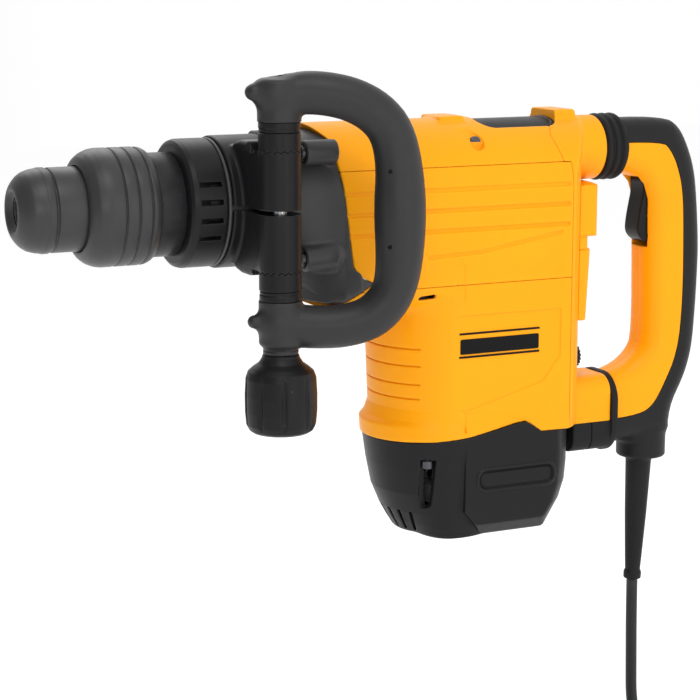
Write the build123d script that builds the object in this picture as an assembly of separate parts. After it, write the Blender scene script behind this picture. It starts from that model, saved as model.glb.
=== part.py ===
"""Electric demolition hammer with an 18 mm tool bore, modelled piece by piece.

Frame, in millimetres: the origin is the centre of the tool bore's mouth, the impact
axis is X with the nose towards -X, the rear handle is towards +X, and +Z is up.
The auxiliary side handle stands on the -Y side.
"""

import os
from math import atan, cos, pi, radians, sin, sqrt, tan

from build123d import *

os.makedirs("parts", exist_ok=True)

# ---------------------------------------------------------------- driving sizes
RUN = 0.05  # radial running clearance of shafts and pins
WALL = 3.0  # moulded cover wall

# spindle and nose
BORE_R = 9.0
BORE_LENGTH = 28.0
HOLDER_R = 20.0
HOLDER_END = 160.0
NOSE_CAP_R = 29.7
COLLAR_R = 41.8
COLLAR_FRONT, COLLAR_BACK = 41.0, 92.0
NECK_R = 37.0
NECK_BACK = 110.5
RING_R = 46.0
RING_BACK = 137.5
ROLLER_R = 4.0
ROLLER_OFFSET = 10.5

# gearbox casting
SEAT_R = 44.0
SEAT_FRONT, SEAT_BACK = 140.5, 180.0
FLANGE_X = 222.0
CASE_BACK = 404.0
CASE_HALF = 40.0
CASE_TOP, CASE_BOTTOM = 36.0, -52.0
CASE_R = 47.0  # radius that rounds the crankcase above the impact axis
CASE_WALL = 5.0
FLOOR_TOP = -37.0  # inside floor of the crankcase

# impact mechanism
CYLINDER_R = 25.0
CYLINDER_WALL = 4.0
CRANK_X = 366.0
CRANK_THROW = 12.0
ROD_LENGTH = 80.0
MOTOR_X = 326.0
MODULE = 2.0
PINION_TEETH = 10
GEAR_TEETH = 30
PRESSURE_ANGLE = 25.0

# housing envelope
HALF_WIDTH = 54.0
BARREL_R, BARREL_Z = 54.0, 0.4  # half-round top of the upper housing
TOP_Z = BARREL_Z + BARREL_R
LIP_FRONT = 209.0  # front of the top cover's lip over the flange
BELLY_Z = -78.0
BELLY_RADIUS = 14.0
SEAM_TOP = 22.2
SEAM_SIDE = -65.0
SEAM_CAP = -184.0
CAP_BOTTOM = -260.0
NOSE_CENTRE_X = 325.0  # centre of the half-round front of the motor housing
SKIRT_R = 59.0  # front lip at the foot of the motor housing
CAP_R = 56.5
REAR_SEAM = 413.0
CROWN_X, CROWN_R = 370.0, 70.0  # the rear face is an arc about this line
REAR_X = CROWN_X + CROWN_R
CAP_CROWN_X = 361.0
COVER_HALF = 40.0
ARM_BACK, ARM_BOTTOM, ARM_TOP = 468.0, -187.0, -151.0

# side handle
CLAMP_FRONT, CLAMP_BACK, CLAMP_R = 141.0, 177.0, 47.5
HINGE_Y = 53.0
COLUMN_X, COLUMN_Y, COLUMN_R = 163.0, -76.0, 14.8
LOOP_ANGLE = 20.0
LOOP_ARM_R, LOOP_GRIP_R = 15.0, 18.3
BOLT_R = 5.0
JOINT_Z = 41.5
DAMPER_LOW, DAMPER_HIGH = 55.0, 62.0

# rear handle
HANDLE_HALF = 20.0
PIVOT_X, PIVOT_Z = 486.0, -172.0
SOCKET_Z = 27.5
TRIGGER_X, TRIGGER_Z = 511.0, -2.0

# mains cord
CORD_R = 4.7
SURFACE_Z = -511.0
COIL_CENTRE = (438.0, -75.0)
COIL_OUTER, COIL_INNER = 73.0, 51.0
COIL_LAYERS = 4
TURNS_PER_LAYER = 7 / 3


# ---------------------------------------------------------------- shape helpers
def tube_x(x0, x1, outer, inner=0.0, y=0.0, z=0.0):
    """A cylinder or tube along X."""
    body = Pos((x0 + x1) / 2, y, z) * Rot(0, 90, 0) * Cylinder(outer, x1 - x0)
    if inner:
        body -= Pos((x0 + x1) / 2, y, z) * Rot(0, 90, 0) * Cylinder(inner, x1 - x0)
    return body


def tube_y(y0, y1, outer, inner=0.0, x=0.0, z=0.0):
    """A cylinder or tube along Y."""
    body = Pos(x, (y0 + y1) / 2, z) * Rot(90, 0, 0) * Cylinder(outer, y1 - y0)
    if inner:
        body -= Pos(x, (y0 + y1) / 2, z) * Rot(90, 0, 0) * Cylinder(inner, y1 - y0)
    return body


def tube_z(z0, z1, outer, inner=0.0, x=0.0, y=0.0):
    """A cylinder or tube along Z."""
    body = Pos(x, y, (z0 + z1) / 2) * Cylinder(outer, z1 - z0)
    if inner:
        body -= Pos(x, y, (z0 + z1) / 2) * Cylinder(inner, z1 - z0)
    return body


def block(x0, x1, y0, y1, z0, z1):
    """A box between two corners."""
    return Pos((x0 + x1) / 2, (y0 + y1) / 2, (z0 + z1) / 2) * Box(x1 - x0, y1 - y0, z1 - z0)


def turned(*profile, z=0.0):
    """A body turned about the X axis, or about the line parallel to it at height z."""
    face = make_face(Polyline(*[(x, r, 0) for x, r in profile], close=True))
    return Pos(0, 0, z) * revolve(face, Axis.X)


def side_slab(outline, y0, y1, corner=0.0):
    """An outline of (x, z) points as a slab from y0 to y1, its corners rounded."""
    face = make_face(Polyline(*[(x, y0, z) for x, z in outline], close=True))
    if corner:
        face = fillet(face.vertices(), corner)
    return extrude(face, amount=y1 - y0, dir=(0, 1, 0))


def involute_outline(teeth, addendum, dedendum, backlash, phase):
    """Points of a spur gear whose first tooth is centred on the phase angle (degrees)."""
    pitch_r = MODULE * teeth / 2
    base_r = pitch_r * cos(radians(PRESSURE_ANGLE))
    tip_r = pitch_r + addendum * MODULE
    root_r = pitch_r - dedendum * MODULE
    start_r = max(base_r, root_r + 0.1)
    inv_pitch = tan(radians(PRESSURE_ANGLE)) - radians(PRESSURE_ANGLE)
    half_tooth = (pi * MODULE / 2 - backlash) / 2 / pitch_r
    flank = []
    for step in range(5):
        radius = start_r + (tip_r - start_r) * step / 4
        roll = sqrt(max(0.0, (radius / base_r) ** 2 - 1))
        flank.append((radius, half_tooth + inv_pitch - (roll - atan(roll))))
    points = []
    for tooth in range(teeth):
        centre = radians(phase) + 2 * pi * tooth / teeth
        one_tooth = [(root_r, -flank[0][1])] + [(r, -a) for r, a in flank]
        one_tooth += [(r, a) for r, a in reversed(flank)] + [(root_r, flank[0][1])]
        for radius, angle in one_tooth:
            points.append((radius * cos(centre + angle), radius * sin(centre + angle)))
    return points


def gear_z(z0, z1, x, y, **sizes):
    """A spur gear along Z."""
    outline = [(px + x, py + y, z0) for px, py in involute_outline(**sizes)]
    return extrude(make_face(Polyline(*outline, close=True)), amount=z1 - z0, dir=(0, 0, 1))


def coil_spring_x(x0, x1, radius, wire_r, turns, y=0.0, z=0.0):
    """A helical compression spring along X."""
    height = x1 - x0 - 2 * wire_r
    path = Helix(pitch=height / turns, height=height, radius=radius, center=(0, 0, 0), direction=(1, 0, 0))
    section = Plane(origin=path @ 0, z_dir=path % 0) * Circle(wire_r)
    return Pos(x0 + wire_r, y, z) * sweep(section, path=path, is_frenet=True)


def ball_bearing_z(z0, z1, x, shaft_r, outer_r):
    """A sealed bearing as one ring with a groove between its races on both faces."""
    ring = tube_z(z0, z1, outer_r, shaft_r + RUN, x)
    groove_out, groove_in = outer_r - 2.0, shaft_r + 2.0
    ring -= tube_z(z0, z0 + 0.8, groove_out, groove_in, x)
    ring -= tube_z(z1 - 0.8, z1, groove_out, groove_in, x)
    return ring


# ---------------------------------------------------------------- nose and spindle
def nose_cap():
    """Domed rubber dust cap over the front of the tool holder."""
    return turned(
        (-1.2, 10.5), (-1.6, 12.5), (-4.6, 14.5), (-5, 16.5), (-4.2, 19), (-2.2, 22), (0.5, 25), (4, 27.4), (9, 29),
        (13.5, 29.6), (14, 30), (19, 30), (19.5, 28.6), (21, 28.6), (21.5, NOSE_CAP_R), (53, NOSE_CAP_R),
        (53, HOLDER_R), (0, HOLDER_R), (0, 10.5),
    )


def tool_holder():
    """Steel tube with the tool bore, two roller windows and the beat piece guide."""
    tube = turned(
        (0, BORE_R), (0, HOLDER_R), (HOLDER_END, HOLDER_R), (HOLDER_END, 16), (132, 16), (132, 12),
        (90, 12), (88, 9.6), (BORE_LENGTH, 9.6), (BORE_LENGTH, BORE_R),
    )
    window = ROLLER_R + 0.3
    return tube - block(34.5, 53.5, -window, window, -21, -6) - block(34.5, 53.5, -window, window, 6, 21)


def locking_roller(side):
    """Hardened roller that drops into the tool shank's flat groove."""
    roller = tube_x(35, 53, ROLLER_R, z=side * ROLLER_OFFSET)
    return chamfer(roller.edges(), 0.8)


def release_collar():
    """Grip collar that is pulled back to release the tool."""
    ridge_tops = []
    for groove in (65, 74.5, 84):
        ridge_tops += [(groove - 1.2, COLLAR_R), (groove, COLLAR_R - 1.4), (groove + 1.2, COLLAR_R)]
    return turned(
        (COLLAR_FRONT, 30.1), (COLLAR_FRONT, 32.5), (43, 36), (47, 39.2), (52, 41.2), (56, COLLAR_R), *ridge_tops,
        (87.5, 41.3), (90.5, 39.8), (COLLAR_BACK, 38), (COLLAR_BACK, NECK_R + 0.4), (54, NECK_R + 0.4), (54, 30.1),
    )


def collar_spring():
    """Return spring between the collar's shoulder and the neck sleeve."""
    return coil_spring_x(54.3, 79.7, 33.5, 1.4, 4)


def neck_sleeve():
    """Plain sleeve that the collar slides over."""
    return tube_x(80, NECK_BACK, NECK_R, HOLDER_R)


def index_ring():
    """Slotted ring that turns the chisel to a new working angle."""
    ring = turned(
        (NECK_BACK, HOLDER_R), (NECK_BACK, NECK_R), (111, 42.5), (113, 45), (116, RING_R), (RING_BACK, RING_R),
        (RING_BACK, HOLDER_R),
    )
    slot = block(118.5, 134, -1.8, 1.8, 41, 48)
    for group in range(3):
        for offset in (-22, -6, 10.3, 27):
            ring -= Rot(group * 120 + offset + 90, 0, 0) * slot
    return ring


# ---------------------------------------------------------------- impact mechanism
def beat_piece():
    """Anvil that passes the blow to the chisel."""
    return turned(
        (96, 0), (96, 9), (98, 11.95), (136, 11.95), (136, 15.95), (142, 15.95), (142, 11.95), (147, 11.95), (148, 10.5), (148, 0),
    )


def cylinder():
    """Steel cylinder in which the piston drives the striker."""
    outer = CYLINDER_R + CYLINDER_WALL
    return tube_x(166, 300, outer, CYLINDER_R) - tube_z(-32, 32, 1.5, x=262)


def striker():
    """Free piston thrown forward by the air cushion."""
    ring_r = CYLINDER_R - RUN
    return turned(
        (162, 0), (162, 11), (164, 13), (186, 13), (188, ring_r), (198, ring_r), (198, 22.6), (202, 22.6), (202, ring_r),
        (222, ring_r), (222, 17), (212, 15), (212, 0),
    )


def piston():
    """Cup-shaped piston, open to the rear where the connecting rod reaches in."""
    ring_r = CYLINDER_R - RUN
    return turned(
        (236, 0), (236, ring_r), (238.5, ring_r), (238.5, 22.6), (242.5, 22.6), (242.5, ring_r), (290, ring_r), (290, 20.8),
        (242, 20.8), (242, 0),
    )


def con_rod():
    """Connecting rod from the crank pin into the piston, with its short wrist pin pressed in."""
    big_end, small_end = CRANK_X - CRANK_THROW, CRANK_X - CRANK_THROW - ROD_LENGTH
    rod = tube_z(-5, 5, 11, x=big_end) + tube_z(-5, 5, 6, x=small_end)
    rod += block(small_end, big_end, -4, 4, -5, 5) + tube_z(-8, 8, 3, x=small_end)
    return rod - tube_z(-5, 5, 6 + RUN, x=big_end)


def crankshaft():
    """Reduction gear, crank disc, shaft and offset crank pin, forged as one."""
    gear = gear_z(
        -34, -24, CRANK_X, 0, teeth=GEAR_TEETH, addendum=0.6, dedendum=1.35, backlash=0.35,
        phase=180 + 180 / GEAR_TEETH,
    )
    disc = tube_z(-24, -8, 22, x=CRANK_X)
    shaft = tube_z(CASE_BOTTOM, -34, 8, x=CRANK_X)
    pin = tube_z(-8, 8, 6, x=CRANK_X - CRANK_THROW)
    return gear + disc + shaft + pin


def bearings():
    """Spindle bush, crank bearing and the two motor bearings."""
    bush = tube_x(142, 160, 26, HOLDER_R + RUN)
    crank = ball_bearing_z(CASE_BOTTOM, FLOOR_TOP - 1, CRANK_X, 8, 14)
    upper = ball_bearing_z(CASE_BOTTOM, FLOOR_TOP - 1, MOTOR_X, 8, 15)
    lower = ball_bearing_z(-233, -222, MOTOR_X, 8, 15)
    return bush + crank + upper + lower


# ---------------------------------------------------------------- gearbox casting
BOSSES = [(y, z) for y in (-47.5, 47.5) for z in (37, -39)]  # of the casting's flange screws


def case_block(inset):
    """Crankcase block, square below the impact axis and rounded above it."""
    half = CASE_HALF - inset
    low = block(FLANGE_X, CASE_BACK - inset, -half, half, CASE_BOTTOM, 0)
    high = tube_x(FLANGE_X, CASE_BACK - inset, CASE_R - inset) & block(FLANGE_X, CASE_BACK, -half, half, 0, CASE_TOP)
    return low + high


def gearbox_housing():
    """Cast housing: spindle nose, clamp seat, flange and crankcase in one piece."""
    nose = turned(
        (138, 26), (138, 45.4), (138.8, 46.2), (140.2, 46.2), (SEAT_FRONT, SEAT_R), (SEAT_BACK + 2, SEAT_R),
        (SEAT_BACK + 2, 26),
    )
    flare_side = side_slab([(SEAT_BACK, 0), (FLANGE_X, 0), (FLANGE_X, -74), (SEAT_BACK, -44)], -60, 60)
    plan = Polyline((SEAT_BACK, -44, -80), (FLANGE_X, -53.5, -80), (FLANGE_X, 53.5, -80), (SEAT_BACK, 44, -80), close=True)
    flare = flare_side & extrude(make_face(plan), amount=80, dir=(0, 0, 1))
    flare += turned((SEAT_BACK, 0), (SEAT_BACK, SEAT_R), (FLANGE_X, 50.5), (FLANGE_X, 0))
    body = nose + flare + case_block(0)
    for y, z in BOSSES:
        body += tube_x(190, FLANGE_X, 9, y=y, z=z)
    body -= tube_x(SEAT_BACK - 45, 166, 26)
    body -= tube_x(166, 240, CYLINDER_R + CYLINDER_WALL)
    body -= case_block(CASE_WALL) & block(232, CASE_BACK, -60, 60, FLOOR_TOP, CASE_TOP)
    body -= tube_z(CASE_BOTTOM, FLOOR_TOP, 14, x=CRANK_X)
    body -= tube_z(CASE_BOTTOM, FLOOR_TOP, 15, x=MOTOR_X)
    for y, z in BOSSES:
        body -= tube_x(190, 215, 3, y=y, z=z)
        body -= tube_x(190, 195, 5.5, y=y, z=z)
    return body


def flange_screws():
    """Four socket screws that hold the casting's flange."""
    screws = []
    for y, z in BOSSES:
        screw = tube_x(195, 215, 3, y=y, z=z) + tube_x(191, 195, 5.2, y=y, z=z)
        screws.append(screw - tube_x(191, 193.5, 2.4, y=y, z=z))
    return screws


def crankcase_lid():
    """Cover plate of the crankcase."""
    lid = block(FLANGE_X + 0.5, CASE_BACK, -29.5, 29.5, CASE_TOP, CASE_TOP + 4)
    return fillet(lid.edges().filter_by(Axis.Z), 6)


# ---------------------------------------------------------------- motor
def armature_shaft():
    """Motor shaft with the drive pinion cut on its upper end."""
    pinion = gear_z(
        -35, -22, MOTOR_X, 0, teeth=PINION_TEETH, addendum=1.0, dedendum=0.85, backlash=0.35, phase=0,
    )
    return pinion + tube_z(-234, -35, 8, x=MOTOR_X)


def armature_core():
    """Laminated rotor core with its winding heads."""
    core = tube_z(-160, -95, 24.5, 8, x=MOTOR_X)
    slot = block(MOTOR_X + 21, MOTOR_X + 26, -1.2, 1.2, -160, -95)
    for k in range(12):
        core -= Pos(MOTOR_X, 0, 0) * Rot(0, 0, 30 * k) * Pos(-MOTOR_X, 0, 0) * slot
    return core + tube_z(-170, -160, 19, 8, x=MOTOR_X) + tube_z(-95, -87, 19, 8, x=MOTOR_X)


def commutator():
    """Copper commutator drum."""
    drum = tube_z(-205, -182, 15, 8, x=MOTOR_X)
    slot = block(MOTOR_X + 13.8, MOTOR_X + 16, -0.4, 0.4, -205, -184)
    for k in range(16):
        drum -= Pos(MOTOR_X, 0, 0) * Rot(0, 0, 22.5 * k) * Pos(-MOTOR_X, 0, 0) * slot
    return drum


def cooling_fan():
    """Radial fan on the armature shaft."""
    fan = tube_z(-72, -69, 38, 8, x=MOTOR_X) + tube_z(-82, -72, 12, 8, x=MOTOR_X)
    blade = block(MOTOR_X + 11, MOTOR_X + 37, -1, 1, -82, -72)
    for k in range(11):
        fan += Pos(MOTOR_X, 0, 0) * Rot(0, 0, 360 / 11 * k) * Pos(-MOTOR_X, 0, 0) * blade
    return fan


def stator():
    """Laminated field ring with a winding head at each end."""
    ring = tube_z(-160, -95, 45, 25.4, x=MOTOR_X)
    return ring + tube_z(-172, -160, 42, 27, x=MOTOR_X) + tube_z(-95, -86, 42, 27, x=MOTOR_X)


def brush_bridge():
    """Moulded bridge with the lower bearing seat and a guide box for each brush."""
    bridge = block(MOTOR_X - 18, MOTOR_X + 18, -44, 44, -236, -222) + tube_z(-236, -222, 20, x=MOTOR_X)
    bridge -= tube_z(-233, -222, 15, x=MOTOR_X)
    bridge -= tube_z(-236, -233, 12, x=MOTOR_X)
    for side in (-1, 1):
        guide = block(MOTOR_X - 7, MOTOR_X + 7, *sorted((side * 20, side * 44)), -222, -187)
        bridge += guide - block(MOTOR_X - 4, MOTOR_X + 4, *sorted((side * 19, side * 38)), -200, -190)
    return bridge


def carbon_brushes():
    """Two brushes resting just clear of the commutator."""
    brush = block(MOTOR_X - 4, MOTOR_X + 4, 15.3, 30, -200, -190)
    return brush + mirror(brush, Plane.XZ)


# ---------------------------------------------------------------- covers
def upper_envelope(inset):
    """Barrel-topped block of the upper housing, drawn in by the inset."""
    side = HALF_WIDTH - inset
    belly = block(FLANGE_X, REAR_SEAM, -side, side, BELLY_Z + inset, BARREL_Z)
    belly = fillet(belly.edges().filter_by(Axis.X).group_by(Axis.Z)[0], BELLY_RADIUS - inset)
    return belly + tube_x(FLANGE_X, REAR_SEAM, BARREL_R - inset, z=BARREL_Z)


def motor_envelope(inset, z0, z1):
    """Half-round-fronted column of the motor housing, drawn in by the inset."""
    side = HALF_WIDTH - inset
    column = tube_z(z0, z1, side, x=NOSE_CENTRE_X)
    return column + block(NOSE_CENTRE_X, REAR_SEAM, -side, side, z0, z1)


def cover_screw_shape(x, z, side, y_head, extra=0.0):
    """One cover screw along Y, or its clearance when extra is positive."""
    head = tube_y(*sorted((side * y_head, side * (y_head - 3))), 4.2 + extra, x=x, z=z)
    shaft = tube_y(*sorted((side * (y_head - 3), side * (y_head - 6.2))), 2.2 + extra, x=x, z=z)
    return head + shaft


COVER_SCREWS = ((338.0, 38.3, 36.5), (291.0, -72.0, 42.5))  # x, z and distance of the head from the middle


def cover_screws(extra=0.0):
    """The cover screws of both sides."""
    return [cover_screw_shape(x, z, side, y_head, extra) for x, z, y_head in COVER_SCREWS for side in (-1, 1)]


def upper_shell():
    """Wall of the upper housing with its front and rear open."""
    return upper_envelope(0) - upper_envelope(WALL)


def top_insert_zone():
    """Rounded oblong, seen from above, that the top insert fills."""
    zone = block(350, REAR_SEAM - 1, -26, 26, 30, 60)
    return fillet(zone.edges().filter_by(Axis.Z), 11)


def top_cover():
    """Upper cover, above the top seam, with a lip that reaches over the flange."""
    cover = upper_shell() & block(FLANGE_X, REAR_SEAM, -60, 60, SEAM_TOP, 60)
    lip = tube_x(LIP_FRONT, FLANGE_X, BARREL_R, BARREL_R - WALL, z=BARREL_Z)
    cover += lip & side_slab([(LIP_FRONT, 57), (220.5, 44), (FLANGE_X, 44), (FLANGE_X, 57)], -60, 60)
    cover += block(319, 340, -12, 12, TOP_Z - 2.5, TOP_Z + 1.9)
    x, z, _ = COVER_SCREWS[0]
    cover -= tube_y(-60, -30, 4.6, x=x, z=z)
    cover -= tube_y(30, 60, 4.6, x=x, z=z)
    return cover - top_insert_zone()


def top_insert():
    """Black oblong insert set into the top cover."""
    return tube_x(340, 420, BARREL_R - 0.4, BARREL_R - WALL, z=BARREL_Z) & top_insert_zone()


def side_cover(side):
    """Ribbed side panel between the two seams."""
    half = block(FLANGE_X, REAR_SEAM, *sorted((0, side * 60)), SEAM_SIDE, SEAM_TOP)
    panel = upper_shell() & half
    for z in (6, -9, -24):
        panel -= block(240, 405, *sorted((side * 52.8, side * 55)), z - 0.7, z + 0.7)
    return panel


def motor_housing():
    """Lower yellow housing around the motor, with the belly under the gearbox."""
    belly = block(FLANGE_X, NOSE_CENTRE_X, -60, 60, BELLY_Z - 1, SEAM_SIDE)
    outer = motor_envelope(0, SEAM_CAP, SEAM_SIDE) + (upper_envelope(0) & belly)
    skirt = tube_z(SEAM_CAP, SEAM_CAP + 12, SKIRT_R, x=NOSE_CENTRE_X)
    skirt += block(NOSE_CENTRE_X, REAR_SEAM, -CAP_R, CAP_R, SEAM_CAP, SEAM_CAP + 12)
    outer += skirt & block(NOSE_CENTRE_X - SKIRT_R, REAR_SEAM, -CAP_R, CAP_R, SEAM_CAP, SEAM_SIDE)
    inner = motor_envelope(WALL, SEAM_CAP, SEAM_SIDE) + (upper_envelope(WALL) & belly)
    shell = outer - inner
    shell -= cover_screws(0.3)
    for side in (-1, 1):
        shell -= block(305, 404, *sorted((side * 53, side * 55)), -142, -88)
    return shell


def badges():
    """Blank badge plates in the recessed panels of both sides."""
    plate = block(312, 396, -53.7, -53, -136, -94)
    plate = fillet(plate.edges().filter_by(Axis.Y), 3)
    return plate + mirror(plate, Plane.XZ)


def cap_outline(inset):
    """Side outline of the motor end cap."""
    return [
        (268.5 + inset, SEAM_CAP), (271.5 + inset, -205), (275.4 + inset, -225), (283 + inset, -241), (290 + inset, -250),
        (300 + inset / 2, CAP_BOTTOM + inset), (409 - inset, CAP_BOTTOM + inset), (422 - inset, -238 + inset / 2),
        (428 - inset, -225), (431 - inset, SEAM_CAP),
    ]


def cap_envelope(inset):
    """Half-round front, flat sides and crowned back of the motor end cap."""
    side, back = CAP_R - inset, CAP_CROWN_X + CROWN_R
    front = tube_z(CAP_BOTTOM, SEAM_CAP, side, x=NOSE_CENTRE_X)
    middle = block(NOSE_CENTRE_X, CAP_CROWN_X, -side, side, CAP_BOTTOM, SEAM_CAP)
    crown = tube_z(CAP_BOTTOM, SEAM_CAP, CROWN_R - inset, x=CAP_CROWN_X)
    return front + middle + (crown & block(CAP_CROWN_X, back, -side, side, CAP_BOTTOM, SEAM_CAP))


def motor_end_cap():
    """Black cap under the motor, with a screw slot on each side."""
    cap = side_slab(cap_outline(0), -60, 60) & cap_envelope(0)
    cap -= side_slab(cap_outline(3.5), -60, 60) & cap_envelope(3.5)
    for side in (-1, 1):
        cap -= block(291, 301, *sorted((side * 39, side * 60)), -236, -197)
        cap -= tube_z(-197, SEAM_CAP, 2.3, x=CAP_SCREW_X, y=side * CAP_SCREW_Y)
    return cap


CAP_SCREW_X, CAP_SCREW_Y = 296.0, 43.5


def end_cap_screws():
    """Screws that hold the end cap, seen at the top of its side slots."""
    head = tube_z(-203, -197.5, 4, x=CAP_SCREW_X, y=CAP_SCREW_Y)
    screw = head + tube_z(-197.5, -186, 2, x=CAP_SCREW_X, y=CAP_SCREW_Y)
    return [screw, mirror(screw, Plane.XZ)]


def housing_screws():
    """All screws of the housing, one solid each."""
    return Compound(children=flange_screws() + cover_screws() + end_cap_screws())


def rear_envelope(inset):
    """Barrel-topped block of the rear housing with its crowned back, drawn in by the inset."""
    side = HALF_WIDTH - inset
    body = block(REAR_SEAM, REAR_X, -side, side, SEAM_CAP, BARREL_Z)
    body += tube_x(REAR_SEAM, REAR_X, BARREL_R - inset, z=BARREL_Z)
    return body & tube_z(SEAM_CAP, TOP_Z, CROWN_R - inset, x=CROWN_X)


def rear_housing():
    """Rear yellow housing with the upper socket, the lower arm and its pivot tongue."""
    body = rear_envelope(0) - rear_envelope(WALL)
    body += block(REAR_SEAM + 1, 434, -14, 14, TOP_Z - 2.5, TOP_Z + 4.2)
    body += tube_x(REAR_X - 8, 463, 25, z=SOCKET_Z)
    body -= tube_x(REAR_X + 17, 463, 21, z=SOCKET_Z)
    arm = block(REAR_X - 7, ARM_BACK, -26, 26, ARM_BOTTOM, ARM_TOP)
    body += fillet(arm.edges().filter_by(Axis.X).group_by(Axis.Z)[-1], 14)
    body += block(ARM_BACK - 1, PIVOT_X, -8, 8, PIVOT_Z - 9, PIVOT_Z + 9) + tube_y(-8, 8, 9, x=PIVOT_X, z=PIVOT_Z)
    body -= tube_y(-8, 8, 5, x=PIVOT_X, z=PIVOT_Z)
    return body - tube_x(REAR_X - 12, REAR_X + 1, 4.3, z=DIAL_Z)


def crowned_plate(radius, z0, z1):
    """Access cover panel that stands on the crowned rear face up to a radius."""
    panel = tube_z(z0, z1, radius, x=CROWN_X) & block(CROWN_X, CROWN_X + radius, -COVER_HALF, COVER_HALF, z0, z1)
    return panel - tube_z(z0, z1, CROWN_R, x=CROWN_X)


def rear_cover():
    """Access cover on the crowned rear face, in an upper and a lower step with a notch between."""
    return crowned_plate(83, -37, -1) + crowned_plate(76, -47, -37) + crowned_plate(78, -102, -47)


DIAL_Z = -137.0


def control_module():
    """Potted speed electronics behind the motor."""
    box = block(388, 426, -32, 32, -170, -70)
    return box - tube_x(421, 427, 6, z=DIAL_Z)


def speed_dial():
    """Thumb dial for the impact rate, on its shaft."""
    dial = tube_x(REAR_X + 1, REAR_X + 10, 9.5, z=DIAL_Z) + tube_x(422, REAR_X + 1, 4, z=DIAL_Z)
    notch = tube_x(REAR_X + 3, REAR_X + 11, 0.9, y=9.5)
    for k in range(18):
        dial -= Pos(0, 0, DIAL_Z) * Rot(20 * k, 0, 0) * notch
    return dial


# ---------------------------------------------------------------- rear handle
SEAM_LINE = [
    (533, 22), (540, 10), (546, -10), (548, -43), (549, -100), (545.6, -141), (532, -169), (523, -183), (511, -189), (476, -191),
]
INNER_LINE = [(476, -153), (485, -146), (500, -135), (504, -125), (502, -48), (500, 3.6), (495, 4.4)]
OUTER_LINE = [
    (484, 5.7), (484, 48.5), (526, 48.5), (538, 42.5), (547, 29.5), (554.6, 9), (558, -15), (561, -52), (560, -101), (558, -134),
    (554, -151.5), (549, -164.5), (536, -186), (537, -212), (476, -212),
]


def handle_shell(side):
    """One half of the yellow handle core, with pockets for the switch and the pivot."""
    low, high = sorted((0, side * (HANDLE_HALF - 1)))
    shell = side_slab([(495, 29), (525, 28)] + SEAM_LINE + INNER_LINE, low, high)
    shell -= block(507, 543, -14, 14, -110, 4)
    shell -= block(498, 508, -9.5, 9.5, -50.5, 4)
    shell -= block(475, 496.5, -8.5, 8.5, PIVOT_Z - 11, PIVOT_Z + 11)
    shell -= tube_y(-15.2, 15.2, 5 + RUN, x=PIVOT_X, z=PIVOT_Z)
    shell -= tube_y(-16, 16, 2 + RUN, x=TRIGGER_X, z=TRIGGER_Z)
    return shell - tube_z(-190, -110, 4.5, x=520)


def handle_overmold():
    """Soft black skin over the back, top and underside, with the cord's cup."""
    outline = OUTER_LINE + list(reversed(SEAM_LINE)) + [(525, 28), (495, 29), (495, 4.4)]
    skin = side_slab(outline, -HANDLE_HALF, HANDLE_HALF)
    skin += tube_z(-226, -205, 20, x=514.5)
    return skin - tube_z(-226, -200, 12.3, x=513.6)


def handle_pivot_pin():
    """Pin on which the whole rear handle floats."""
    return tube_y(-15, 15, 5, x=PIVOT_X, z=PIVOT_Z)


def handle_bellows():
    """Rubber bellows around the handle's upper joint."""
    ridges = []
    for k in range(3):
        x = 463 + 7 * k
        ridges += [(x + 0.5, 24), (x + 2, 26), (x + 5, 26), (x + 6.5, 24)]
    return turned((463, 24), *ridges, (484, 24), (484, 20.5), (463, 20.5), z=SOCKET_Z)


def isolator_spring():
    """Spring that centres the floating handle inside the bellows."""
    return coil_spring_x(457.2, 483.8, 13, 1.6, 5, z=SOCKET_Z)


def lower_boot():
    """Rubber sleeve under the rear arm, with a flange around the handle's lower pivot."""
    flange = block(ARM_BACK, 474, -28.5, 28.5, -214, -150)
    flange = fillet(flange.edges().filter_by(Axis.X), 14)
    flange -= block(471, 474, -22, 22, -208, -156)
    flange -= block(ARM_BACK, 474, -8.5, 8.5, PIVOT_Z - 9.5, PIVOT_Z + 9.5)
    return flange + block(REAR_X - 7, ARM_BACK, -26, 26, -212, ARM_BOTTOM)


def trigger():
    """Finger trigger with moulded stub axles near its top."""
    outline = [(499, 3), (501, -8), (496, -26), (495, -40), (502, -46), (515.5, -49), (515, 2), (510, 3)]
    return side_slab(outline, -9, 9, corner=0.8) + tube_y(-15.5, 15.5, 2, x=TRIGGER_X, z=TRIGGER_Z)


def switch_body():
    """Mains switch behind the trigger."""
    return block(524, 541, -11, 11, -64, -8) + block(522.5, 524, -4, 4, -40, -28)


# ---------------------------------------------------------------- cord and plug
def strain_relief():
    """Tapered rubber sleeve around the cord where it leaves the handle."""
    top = Pos(513.6, 0, -226) * Circle(12.2)
    bottom = Pos(509.7, 0, -329) * Circle(7.3)
    return loft([top, bottom]) + tube_z(-226, -202, 12.2, x=513.6)


LAYER_TOP_Z = SURFACE_Z + 1 + CORD_R + 2 * CORD_R * (COIL_LAYERS - 1)
COIL_END_ANGLE = radians(-360 * TURNS_PER_LAYER * COIL_LAYERS)

HANGING_ROUTE = [
    (509.7, 0, -329), (510.4, 0.6, -362), (511, 0, -399), (511, -1.5, LAYER_TOP_Z + 41), (511, -16.5, LAYER_TOP_Z + 15),
    (511, -42.5, LAYER_TOP_Z + 0.3), (511, -75, LAYER_TOP_Z),
]
LEAD_ROUTE = [
    (401.5, -138.2, -505.3), (366.9, -118.2, -505.3), (343.9, -85.4, -504.4), (336.1, -56.4, -501.6),
]


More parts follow.
